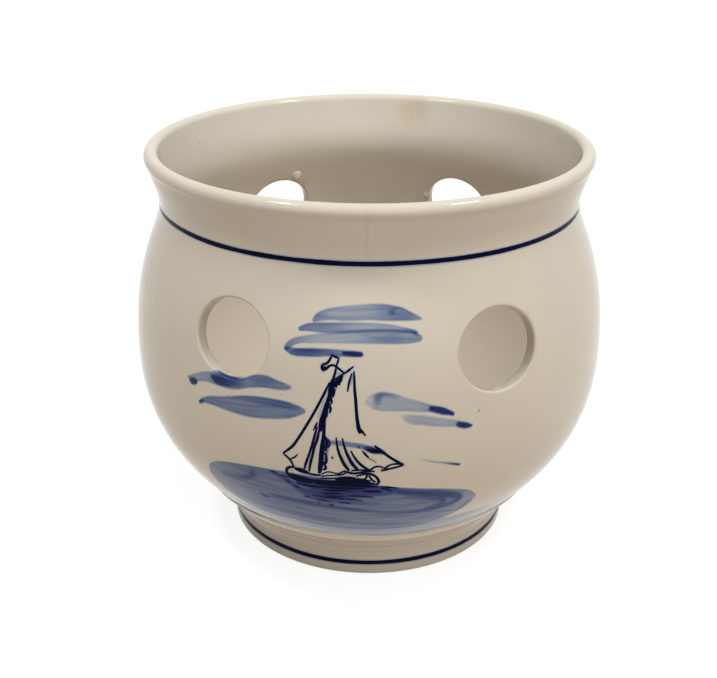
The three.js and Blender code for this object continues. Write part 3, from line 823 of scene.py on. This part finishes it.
# %% Soak all the strokes
INK_BLEED = 0.35
INK_BLEED_TONE = 0.1
OTHER_STREAKS = 7.3
bleed = [
    [(across, up, half + INK_BLEED, INK_BLEED_TONE) for across, up, half in points]
    for points in RIGGING + MAST_HATCHING + HULL + REFLECTION + FAINT_REFLECTION
]
for group, edge in (
    (CLOUDS + SEA_BODY, CRISP), (SMALL_MARKS + SHADED_SAILS, CRISP),
    (SOFT_CLOUDS + DEEP_WATER + bleed, WET), (SEA_STROKES, VERY_WET),
):
    for number, points in enumerate(group):
        soak(points, edge, number * OTHER_STREAKS)
note(pot, "wash", 1 - clear)
print("Corners with some colour:", int((clear < 1).sum()), "of", len(clear))

# %% [markdown]
# ## Laying the ink on the wall
#
# Full-strength cobalt stands a few hundredths of a millimetre proud under its glaze, and its edge is
# crisper than the mesh below could hold. So each line is drawn as a curve with a round bevel whose radius
# follows the pressure of the brush, turned to a mesh, pressed flat and laid on the wall. Its corners take
# the wall's own normals, so that light runs over line and glaze as over one surface. Each corner also keeps
# how much pigment lies there: less at the edge of a line, and less in a line drawn with a light hand.

# %% Draw lines on the flat
INK_THICKNESS = 0.05 * MM
INK_SETTLES = 0.3 * MM
CURVE_STEPS = 5
LINE_ROUNDNESS = 2
END_TAPER = 0.6
BRUSH_SPREAD = 1.15


def draw_lines(lines, load):
    """Draws lines as curves on the flat, presses them thin, and returns them as one mesh object."""
    bpy.ops.object.select_all(action="DESELECT")
    bpy.ops.curve.primitive_bezier_curve_add()
    item = bpy.context.object
    curve = item.data
    curve.splines.clear()
    curve.dimensions = "3D"
    curve.bevel_depth = MM
    curve.bevel_resolution = LINE_ROUNDNESS
    curve.use_fill_caps = True
    curve.resolution_u = CURVE_STEPS
    for line in lines:
        spline = curve.splines.new("BEZIER")
        spline.bezier_points.add(len(line) - 1)
        for i, (knot, (across, up, half)) in enumerate(zip(spline.bezier_points, line)):
            knot.co = (across * MM, 0, up * MM)
            knot.handle_left_type = knot.handle_right_type = "AUTO"
            knot.radius = half * BRUSH_SPREAD * (END_TAPER if i in (0, len(line) - 1) else 1)
    only(item)
    bpy.ops.object.convert(target="MESH")
    item = bpy.context.object
    flat = np.array([vertex.co for vertex in item.data.vertices])
    proud = INK_THICKNESS * np.tanh(-flat[:, 1] / INK_SETTLES)
    note(item, "pigment", np.clip(load * proud / INK_THICKNESS, 0, 1))
    flat[:, 1] = -proud
    item.data.vertices.foreach_set("co", flat.astype(np.float32).ravel())
    return item


print("An ink line stands", round(INK_THICKNESS / MM, 3), "mm proud")

# %% Lay the boat on the wall
FULL, MIDDLE = 1.0, 0.75


def settle(item, name):
    """Lays a flat drawing on the wall, with the wall's own normals, and names it."""
    item.name = item.data.name = name
    flat = np.array([vertex.co for vertex in item.data.vertices])
    laid, normals = lay_on_wall(flat[:, 0], flat[:, 2], -flat[:, 1])
    item.data.vertices.foreach_set("co", laid.astype(np.float32).ravel())
    only(item)
    bpy.ops.object.mode_set(mode="EDIT")
    bpy.ops.mesh.select_all(action="SELECT")
    bpy.ops.mesh.normals_make_consistent(inside=False)
    bpy.ops.object.mode_set(mode="OBJECT")
    bpy.ops.object.shade_smooth()
    item.data.normals_split_custom_set_from_vertices(normals.tolist())
    print(name + ":", len(item.data.polygons), "faces")
    return item


groups = [
    draw_lines(RIGGING + HULL, FULL), draw_lines(MAST_HATCHING + REFLECTION + FAINT_REFLECTION, MIDDLE),
]
only(*groups)
bpy.ops.object.join()
boat_ink = settle(bpy.context.object, "boat_ink")

# %% [markdown]
# ## The two bands
#
# The bands were painted on a banding wheel: the pot turned and the brush was held still. So a band is one
# long line right round the pot. Its width and height wander a little, and its two ends overlap at the back.
# Each band is named by its height, half width and how far it wanders, in millimetres, and a random seed.

# %% Paint the bands
NECK_BAND = (104.7, 0.56, 0.2, 3.1)
FOOT_BAND = (4.6, 0.6, 0.15, 8.7)
BAND_SPANS = 120
BAND_OVERLAP = 3.0
WANDERS_ROUND = 2
PRESSURE_LASTS = 9
PRESSURE_CHANGES = 0.16


def band_line(height, half, wander, seed):
    """A line once round the pot, with the small errors of a hand on a banding wheel."""
    points = []
    reach = math.pi * BELLY["radius"] + BAND_OVERLAP
    for i in range(BAND_SPANS + 1):
        across = -reach + 2 * reach * i / BAND_SPANS
        turn = across / BELLY["radius"]
        slow = noise.noise(Vector((math.cos(turn) * WANDERS_ROUND, math.sin(turn) * WANDERS_ROUND, seed)))
        quick = noise.noise(Vector((across / PRESSURE_LASTS, seed, 0)))
        points.append((across, height + wander * slow, half * (1 + PRESSURE_CHANGES * quick)))
    return points


neck_band = settle(draw_lines([band_line(*NECK_BAND)], FULL), "neck_band")
foot_band = settle(draw_lines([band_line(*FOOT_BAND)], FULL), "foot_band")

# %% [markdown]
# ## Beads of glaze
#
# Where glaze ran off the edge of a hole it froze as a bead, and two of them show on the inner wall at the
# back. A metaball would flow into the wall, but it is coarse at this size. So each is a ball that is sunk
# by half into the wall, and its lowest corner is pulled down with proportional editing, because a drop
# hangs a little before it sets. A bead is named by its turn, height, radius and how flat it is.

# %% Add the beads
BEADS = [(204.5, 94.8, 1.6, 0.5), (161.5, 86.4, 1.2, 0.35)]
HANGS = 0.25
HANGS_FROM = 2


def add_bead(turn, height, radius, flatness):
    """One bead on the inner wall. Its depth and how far it hangs are shares of its radius."""
    a = math.radians(turn)
    out = float(np.interp(height * MM, inner_height, inner_radius))
    bpy.ops.mesh.primitive_uv_sphere_add(
        segments=24, ring_count=16, radius=radius * MM, scale=(1, flatness, 1), rotation=(0, 0, a),
        location=(out * math.sin(a), -out * math.cos(a), height * MM),
    )
    bead = bpy.context.object
    bpy.ops.object.transform_apply(location=True, rotation=True, scale=True)
    lowest = min(bead.data.vertices, key=lambda vertex: vertex.co.z).co.z
    bpy.ops.object.mode_set(mode="EDIT")
    bpy.ops.mesh.select_mode(type="VERT")
    bpy.ops.mesh.select_all(action="DESELECT")
    bpy.ops.object.mode_set(mode="OBJECT")
    for vertex in bead.data.vertices:
        vertex.select = vertex.co.z < lowest + SAME_PLACE
    bpy.ops.object.mode_set(mode="EDIT")
    bpy.ops.transform.translate(
        value=(0, 0, -HANGS * radius * MM), use_proportional_edit=True,
        proportional_size=HANGS_FROM * radius * MM,
    )
    bpy.ops.object.mode_set(mode="OBJECT")
    bpy.ops.object.shade_smooth()
    return bead


only(*[add_bead(*bead) for bead in BEADS])
bpy.ops.object.join()
glaze_beads = bpy.context.object
glaze_beads.name = glaze_beads.data.name = "glaze_beads"
print("Beads:", len(BEADS), "with", len(glaze_beads.data.polygons), "faces")

# %% [markdown]
# ## Colours and nodes
#
# Each finish is a small tree of nodes. One function adds a node with its settings and links, and another
# turns a colour as written on a screen into the linear numbers that a shader adds up. Three settings that
# come back often get short names. Sizes of patterns are real ones, in millimetres.

# %% Helpers for materials
MULTIPLY = {"operation": "MULTIPLY"}
SMOOTHLY = {"interpolation_type": "SMOOTHSTEP"}
OF_COLOURS = {"data_type": "RGBA"}
CREAM_THIN, CREAM_THICK = "#cac1b1", "#d5ccbc"


def linear(code):
    """A colour such as #d6ccba as linear red, green, blue and alpha."""
    parts = [int(code[i : i + 2], 16) / 255 for i in (1, 3, 5)]
    return (*(c / 12.92 if c <= 0.04045 else ((c + 0.055) / 1.055) ** 2.4 for c in parts), 1.0)


def add_node(tree, kind, settings=None, **inputs):
    """Adds a node. Settings are its own fields. Each input is a value, or a socket to link from."""
    node = tree.nodes.new(kind)
    for field, value in (settings or {}).items():
        setattr(node, field, value)
    for key, value in inputs.items():
        by_number = key[0] == "i" and key[1:].isdigit()
        socket = node.inputs[int(key[1:]) if by_number else key.replace("_", " ")]
        if isinstance(value, bpy.types.NodeSocket):
            tree.links.new(value, socket)
        else:
            socket.default_value = value
    return node


def new_material(name):
    """An empty material with its output, ready for a shader."""
    material = bpy.data.materials.new(name)
    material.use_nodes = True
    tree = material.node_tree
    tree.nodes.clear()
    return material, tree, tree.nodes.new("ShaderNodeOutputMaterial")


print("The cream in linear numbers:", [round(c, 3) for c in linear(CREAM_THICK)[:3]])

# %% [markdown]
# ## Cobalt under the glaze
#
# Cobalt oxide was ground in water and brushed on the raw clay. It turns from grey blue to nearly black as
# it lies thicker, so one ramp of colours serves for every wash. One fixed blue, mixed in by its tone, would
# make the thin washes look milky. What goes all round the pot is worked out from the height, because the
# back has no fine mesh: the thin wash above the ledge, and the blue that has bled beside the two bands.
# Each is named by its lower and upper edge, how soft these are, both in millimetres, and its tone. The edges
# of the wash drift up and down a little, as a brush held by hand does. A noise texture makes the drift. Most
# of its values lie between 0.3 and 0.7, so that span is stretched over the whole drift.

# %% Work out what was painted all round
LEDGE_WASH = ((21.0, 28.2), (0.5, 1.4), 0.43)
NECK_BLEED = ((103.8, 105.6), (0.4, 0.4), 0.4)
FOOT_BLEED = ((3.6, 5.6), (0.4, 0.4), 0.36)
WASH_WAVES = 22.2
USUAL_NOISE = (0.3, 0.7)
WASH_DRIFT = 0.6
WASHES_MERGE = 0.1


def band_tone(tree, height, edges, soft, tone):
    """A tone between two heights that fades out over a soft edge at both."""
    for edge, fade, sign in zip(edges, soft, (1, -1)):
        inside = add_node(
            tree, "ShaderNodeMapRange", SMOOTHLY,
            Value=height, i1=(edge - fade * sign) * MM, i2=(edge + fade * sign) * MM,
        ).outputs[0]
        tone = add_node(tree, "ShaderNodeMath", MULTIPLY, i0=inside, i1=tone).outputs[0]
    return tone


def painted_tone(tree, where):
    """How much cobalt lies under the glaze, from 0 to 1."""
    outer = add_node(tree, "ShaderNodeAttribute", {"attribute_name": "outer_face"}).outputs["Fac"]
    wash = add_node(tree, "ShaderNodeAttribute", {"attribute_name": "wash"}).outputs["Fac"]
    waves = add_node(tree, "ShaderNodeTexNoise", Vector=where, Scale=1 / (WASH_WAVES * MM), Detail=2.0)
    drift = add_node(
        tree, "ShaderNodeMapRange", Value=waves.outputs["Fac"],
        i1=USUAL_NOISE[0], i2=USUAL_NOISE[1], i3=-WASH_DRIFT * MM, i4=WASH_DRIFT * MM,
    ).outputs[0]
    height = add_node(tree, "ShaderNodeSeparateXYZ", Vector=where).outputs["Z"]
    wavy = add_node(tree, "ShaderNodeMath", i0=height, i1=drift).outputs[0]
    total = band_tone(tree, wavy, *LEDGE_WASH)
    for bleed_beside in (NECK_BLEED, FOOT_BLEED):
        tone = band_tone(tree, height, *bleed_beside)
        total = add_node(tree, "ShaderNodeMath", i0=total, i1=tone).outputs[0]
    all_round = add_node(tree, "ShaderNodeMath", MULTIPLY, i0=total, i1=outer).outputs[0]
    return add_node(
        tree, "ShaderNodeMath", {"operation": "SMOOTH_MAX", "use_clamp": True},
        i0=all_round, i1=wash, i2=WASHES_MERGE,
    ).outputs[0]


print("Heights painted all round:", LEDGE_WASH[0], NECK_BLEED[0], FOOT_BLEED[0])

# %% Add the colour of the cobalt
WASH_RAMP = {
    0.0: CREAM_THIN, 0.2: "#b2b2b2", 0.36: "#959ca8", 0.5: "#717e96", 0.64: "#516287",
    0.8: "#233871", 1.0: "#04144e",
}


def cobalt(tree, tone):
    """The colour of cobalt under glaze, from a breath of grey blue to nearly black."""
    ramp = add_node(tree, "ShaderNodeValToRGB", Fac=tone)
    stops = ramp.color_ramp.elements
    while len(stops) < len(WASH_RAMP):
        stops.new(0.5)
    for stop, (position, code) in zip(stops, WASH_RAMP.items()):
        stop.position = position
        stop.color = linear(code)
    return ramp.outputs["Color"]


print("Steps from cream to full cobalt:", len(WASH_RAMP))

# %% [markdown]
# ## The glaze
#
# Glazed earthenware: a clear glaze over a cream body, poured on and fired to a shine. The eye sees a warm
# cream with slow, faint clouds where the glaze lies thicker, a few iron specks, and bare clay where the
# standing ring was wiped. The bores of the holes are painted a little browner. Part of that is the clay
# showing where the glaze ran thin round the holes, and part is painted shade that darkens every bore.
# The line where the mould's halves met shows faintly up the front of the collar, and a brown stain has
# crept in inside the rim.
# Each of these could be a material of its own, but they meet without an edge, so they are layers of colour
# in one, and the cobalt covers them all from a quarter of its full tone upwards. A glassy glaze has an IOR
# of about 1.5, a roughness under 0.1 and a surface that is never quite flat. Its shine is kept below the
# usual, because here the white room would lie as a veil over the blue.

# %% Add specks of iron
IRON = "#5d4a38"
SPECK_SPACING = 8.0
SPECK_RADIUS = 0.35
SPECK_CORE = 0.4
SPECK_SHARE = 0.4
SPECK_TONE = 0.55


def iron_specks(tree, where):
    """Round specks, one in some of the cells of a Voronoi pattern."""
    cells = add_node(tree, "ShaderNodeTexVoronoi", Vector=where, Scale=1 / (SPECK_SPACING * MM))
    size = SPECK_RADIUS / SPECK_SPACING
    dot = add_node(
        tree, "ShaderNodeMapRange", SMOOTHLY,
        Value=cells.outputs["Distance"], i1=size * SPECK_CORE, i2=size, i3=SPECK_TONE, i4=0.0,
    ).outputs[0]
    chance = add_node(tree, "ShaderNodeSeparateColor", Color=cells.outputs["Color"]).outputs[0]
    chosen = add_node(
        tree, "ShaderNodeMath", {"operation": "LESS_THAN"}, i0=chance, i1=SPECK_SHARE
    ).outputs[0]
    return add_node(tree, "ShaderNodeMath", MULTIPLY, i0=dot, i1=chosen).outputs[0]


print("Specks:", 2 * SPECK_RADIUS, "mm across, in", SPECK_SHARE, "of the cells")

# %% Add the mould's line and the stain
STAIN = "#b59c62"
STAIN_PLACE = (15.0, 58.0, 115.5)
STAIN_CORE = 1.5
STAIN_REACH = 8.0
STAIN_GRAIN = 3.0
STAIN_TONE = 0.55
SEAM_ACROSS = -0.45
SEAM_REACH = 1.0
SEAM_TONE = 0.1


def marks(tree, where):
    """The faint line of the mould's joint up the front of the collar, and a brown stain inside the rim."""
    split = add_node(tree, "ShaderNodeSeparateXYZ", Vector=where).outputs
    beside = add_node(tree, "ShaderNodeMath", i0=split["X"], i1=-SEAM_ACROSS * MM).outputs[0]
    aside = add_node(tree, "ShaderNodeMath", {"operation": "ABSOLUTE"}, i0=beside).outputs[0]
    seam = add_node(
        tree, "ShaderNodeMapRange", SMOOTHLY,
        Value=aside, i1=0.0, i2=SEAM_REACH * MM, i3=SEAM_TONE, i4=0.0,
    ).outputs[0]
    for axis, test, limit in (("Z", "GREATER_THAN", NECK["height"] * MM), ("Y", "LESS_THAN", 0.0)):
        there = add_node(tree, "ShaderNodeMath", {"operation": test}, i0=split[axis], i1=limit).outputs[0]
        seam = add_node(tree, "ShaderNodeMath", MULTIPLY, i0=seam, i1=there).outputs[0]
    away = add_node(
        tree, "ShaderNodeVectorMath", {"operation": "DISTANCE"}, i0=where, i1=Vector(STAIN_PLACE) * MM
    ).outputs["Value"]
    blot = add_node(
        tree, "ShaderNodeMapRange", SMOOTHLY,
        Value=away, i1=STAIN_CORE * MM, i2=STAIN_REACH * MM, i3=STAIN_TONE, i4=0.0,
    ).outputs[0]
    grain = add_node(tree, "ShaderNodeTexNoise", Vector=where, Scale=1 / (STAIN_GRAIN * MM), Detail=2.0)
    blot = add_node(tree, "ShaderNodeMath", MULTIPLY, i0=blot, i1=grain.outputs["Fac"]).outputs[0]
    return add_node(tree, "ShaderNodeMath", {"use_clamp": True}, i0=seam, i1=blot).outputs[0]


print("Stain:", 2 * STAIN_REACH, "mm across")

# %% Mix the glaze
GLAZE_ROUGHNESS = 0.08
GLAZE_IOR = 1.5
GLAZE_SHEEN = 0.18
BODY_CLAY = "#a5866c"
CLOUD_SIZE = 35.7
COVERING_TONE = 0.25
RIPPLE_SIZE = 18.2
RIPPLE_HEIGHT = 0.25
RIPPLE_SHARE = 0.35


def glaze_material():
    """Cream, bare clay and painted shade in the bores, stain, specks and cobalt as layers of one colour,
    under one clear shine.
    """
    material, tree, output = new_material("cream glaze on earthenware")
    where = add_node(tree, "ShaderNodeTexCoord").outputs["Object"]
    clouds = add_node(
        tree, "ShaderNodeTexNoise", Vector=where, Scale=1 / (CLOUD_SIZE * MM), Detail=3.0, Roughness=0.5
    ).outputs["Fac"]
    # Clay colour: full on the wiped standing ring, and a little in the bores, part thin glaze and part
    # painted shade.
    thin = add_node(tree, "ShaderNodeAttribute", {"attribute_name": "bare_clay_and_bore_shade"}).outputs["Fac"]
    tone = painted_tone(tree, where)
    painted = add_node(tree, "ShaderNodeMapRange", Value=tone, i1=0.0, i2=COVERING_TONE).outputs[0]
    colour = linear(CREAM_THIN)
    for share, layer in (
        (clouds, linear(CREAM_THICK)), (thin, linear(BODY_CLAY)), (marks(tree, where), linear(STAIN)),
        (iron_specks(tree, where), linear(IRON)), (painted, cobalt(tree, tone)),
    ):
        colour = add_node(tree, "ShaderNodeMix", OF_COLOURS, i0=share, i6=colour, i7=layer).outputs[2]
    ripple = add_node(tree, "ShaderNodeTexNoise", Vector=where, Scale=1 / (RIPPLE_SIZE * MM), Detail=1.0)
    shine = add_node(
        tree, "ShaderNodeBump",
        Height=ripple.outputs["Fac"], Strength=RIPPLE_SHARE, Distance=RIPPLE_HEIGHT * MM,
    )
    shader = add_node(
        tree, "ShaderNodeBsdfPrincipled",
        Base_Color=colour, Roughness=GLAZE_ROUGHNESS, IOR=GLAZE_IOR, Specular_IOR_Level=GLAZE_SHEEN,
        Normal=shine.outputs[0],
    )
    tree.links.new(shader.outputs["BSDF"], output.inputs["Surface"])
    return material


glaze = glaze_material()
print("Nodes in the glaze:", len(glaze.node_tree.nodes))

# %% Glaze the pot and the beads
BORE_CLAY_AND_SHADE = 0.1
BARE_BELOW = 0.35


def finish(pieces, material):
    """Gives the pieces one material, and says what body they ride on."""
    for piece in pieces:
        piece.data.materials.clear()
        piece.data.materials.append(material)
        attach(piece, "root")
    print("Finished with " + material.name + ":", [piece.name for piece in pieces])


# The bores of the holes take a little clay colour, partly for thin glaze and partly as painted shade; the
# wiped standing ring takes it fully.
bare_clay_and_bore_shade = np.full(len(corner_places), BORE_CLAY_AND_SHADE)
bare_clay_and_bore_shade[on_wall] = 0
bare_clay_and_bore_shade[corner_up < BARE_BELOW] = 1
note(pot, "bare_clay_and_bore_shade", bare_clay_and_bore_shade)
finish([pot, glaze_beads], glaze)
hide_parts("pot_body")
print("Triangles in the pot:", sum(len(face.vertices) - 2 for face in pot.data.polygons))

# %% [markdown]
# ## The ink's colour
#
# Full-strength cobalt oxide, drawn with a fine liner, under the same clear glaze. Where a line is thin at
# its edge the blue shows, and where it is thick it is nearly black, so the colour follows the pigment that
# each corner carries. A plain dark blue would look printed. Pigment settles in patches about a millimetre
# wide, which a fine noise adds. Its shine is the glaze's, kept lower still, so that black stays black.

# %% Make the ink
INK_THIN = "#22347a"
INK_THICK = "#030828"
INK_SHEEN = 0.03
INK_PATCHES = 1.11
PATCH_DEPTH = 0.5
THIN_LOAD, THICK_LOAD = 0.05, 0.6


def ink_material():
    """A colour that goes from blue to nearly black with the pigment, under a clear shine."""
    material, tree, output = new_material("cobalt ink under glaze")
    where = add_node(tree, "ShaderNodeTexCoord").outputs["Object"]
    pigment = add_node(tree, "ShaderNodeAttribute", {"attribute_name": "pigment"}).outputs["Fac"]
    grain = add_node(tree, "ShaderNodeTexNoise", Vector=where, Scale=1 / (INK_PATCHES * MM), Detail=2.0)
    patchy = add_node(
        tree, "ShaderNodeMath", {"operation": "MULTIPLY_ADD"},
        i0=grain.outputs["Fac"], i1=PATCH_DEPTH, i2=-PATCH_DEPTH / 2,
    ).outputs[0]
    load = add_node(tree, "ShaderNodeMath", i0=pigment, i1=patchy).outputs[0]
    depth = add_node(tree, "ShaderNodeMapRange", Value=load, i1=THIN_LOAD, i2=THICK_LOAD).outputs[0]
    colour = add_node(
        tree, "ShaderNodeMix", OF_COLOURS, i0=depth, i6=linear(INK_THIN), i7=linear(INK_THICK)
    ).outputs[2]
    shader = add_node(
        tree, "ShaderNodeBsdfPrincipled",
        Base_Color=colour, Roughness=GLAZE_ROUGHNESS, IOR=GLAZE_IOR, Specular_IOR_Level=INK_SHEEN,
    )
    tree.links.new(shader.outputs["BSDF"], output.inputs["Surface"])
    return material


finish([boat_ink, neck_band, foot_band], ink_material())

# %% [markdown]
# ## Floor and light
#
# The floor is white paper that sends a little warm light back up under the belly. It could be lit until it
# turns white, but then the pot would be overlit. So the floor and the sky show as plain white only to the
# camera and to what shines. Part of the paper glows there, and it still keeps the pot's shadow.
# The light is a soft sky with no edge that would show in the glaze, brightest above and in front, a little
# to the right. Two small lamps above add the highlights on the lip and the holes. A lamp is named by its
# place and its size, in metres, and its power in watts.

# %% Make the floor
PAPER_SEEN = "#fbfaf8"
PAPER_BOUNCE = "#d2c5b6"
WHITE = "#ffffff"
FLOOR_GLOW = 0.8
FLOOR_WHITE = 1.1
FLOOR_FAR = 30.0


def seen_directly(tree):
    """1 for the camera and for what shines or lets light through, 0 for the light that lands on things."""
    path = add_node(tree, "ShaderNodeLightPath").outputs
    seen = path["Is Camera Ray"]
    for ray in ("Is Glossy Ray", "Is Transmission Ray"):
        seen = add_node(tree, "ShaderNodeMath", {"use_clamp": True}, i0=seen, i1=path[ray]).outputs[0]
    return seen


def paper_material():
    """Paper that shows as white. Part of that is a glow, so that a shadow on it stays faint."""
    material, tree, output = new_material("white paper floor")
    seen = seen_directly(tree)
    colour = add_node(
        tree, "ShaderNodeMix", OF_COLOURS, i0=seen, i6=linear(PAPER_BOUNCE), i7=linear(PAPER_SEEN)
    ).outputs[2]
    paper = add_node(tree, "ShaderNodeBsdfDiffuse", Color=colour)
    white = add_node(tree, "ShaderNodeEmission", Color=linear(WHITE), Strength=FLOOR_WHITE)
    share = add_node(tree, "ShaderNodeMath", MULTIPLY, i0=seen, i1=FLOOR_GLOW)
    mixed = add_node(
        tree, "ShaderNodeMixShader", i0=share.outputs[0], i1=paper.outputs[0], i2=white.outputs[0]
    )
    tree.links.new(mixed.outputs[0], output.inputs["Surface"])
    return material


bpy.ops.object.select_all(action="DESELECT")
bpy.ops.mesh.primitive_circle_add(vertices=64, radius=FLOOR_FAR, fill_type="NGON")
floor = bpy.context.object
floor.name = "floor"
floor.data.materials.append(paper_material())
print("Floor:", round(floor.dimensions.x, 1), "m across")

# %% Hang the lamps
POT_MIDDLE = Vector((0, 0, 0.06))
LAMPS = {
    "lamp_left": ((-0.41, -0.13, 0.95), (0.16, 0.12), 3.6),
    "lamp_right": ((0.485, -0.165, 0.95), (0.16, 0.12), 3.9),
}


def add_lamp(name, stands, size, power):
    """A rectangular area lamp at a place in metres, aimed at the middle of the pot."""
    lamp = bpy.data.lights.new(name, "AREA")
    lamp.shape = "RECTANGLE"
    lamp.size, lamp.size_y = size
    lamp.energy = power
    item = bpy.data.objects.new(name, lamp)
    item.location = stands
    item.rotation_euler = (POT_MIDDLE - Vector(stands)).to_track_quat("-Z", "Y").to_euler()
    bpy.context.scene.collection.objects.link(item)


for name, lamp in LAMPS.items():
    add_lamp(name, *lamp)
print("Lamps:", len(LAMPS))

# %% [markdown]
# ### The sky
#
# Each soft light is a glow in the world round one direction. It is named by its turn to the right of the
# camera and its height, in degrees, by the cosine at which it has faded out, and by its strength. Large
# area lamps would do the same, but their edges would show in the glaze.

# %% Light the sky
SKY_DIM = 0.06
SOFT_LIGHTS = {
    "right of the camera": (24, 42, 0.8, 1.78),
    "left of the camera": (-22, 42, 0.8, 0.15),
    "overhead": (5, 68, 0.8, 1.15),
    "on the right": (78, 30, 0.6, 0.15),
}

world = bpy.data.worlds.new("studio")
bpy.context.scene.world = world
world.use_nodes = True
tree = world.node_tree
tree.nodes.clear()
way = add_node(tree, "ShaderNodeTexCoord").outputs["Generated"]
level = SKY_DIM
for turn, up, fades_at, gain in SOFT_LIGHTS.values():
    turn, up = math.radians(turn), math.radians(up)
    direction = Vector((math.sin(turn) * math.cos(up), -math.cos(turn) * math.cos(up), math.sin(up)))
    towards = add_node(
        tree, "ShaderNodeVectorMath", {"operation": "DOT_PRODUCT"}, i0=way, i1=direction
    )
    glow = add_node(
        tree, "ShaderNodeMapRange", SMOOTHLY,
        Value=towards.outputs["Value"], i1=fades_at, i2=1.0, i3=0.0, i4=gain,
    )
    level = add_node(tree, "ShaderNodeMath", i0=level, i1=glow.outputs[0]).outputs[0]
strength = add_node(tree, "ShaderNodeMix", i0=seen_directly(tree), i2=level, i3=1.0).outputs[0]
sky = add_node(tree, "ShaderNodeBackground", Color=linear(WHITE), Strength=strength)
tree.links.new(sky.outputs[0], add_node(tree, "ShaderNodeOutputWorld").inputs["Surface"])
bpy.context.scene.view_settings.view_transform = "Standard"
print("Soft lights in the sky:", len(SOFT_LIGHTS))
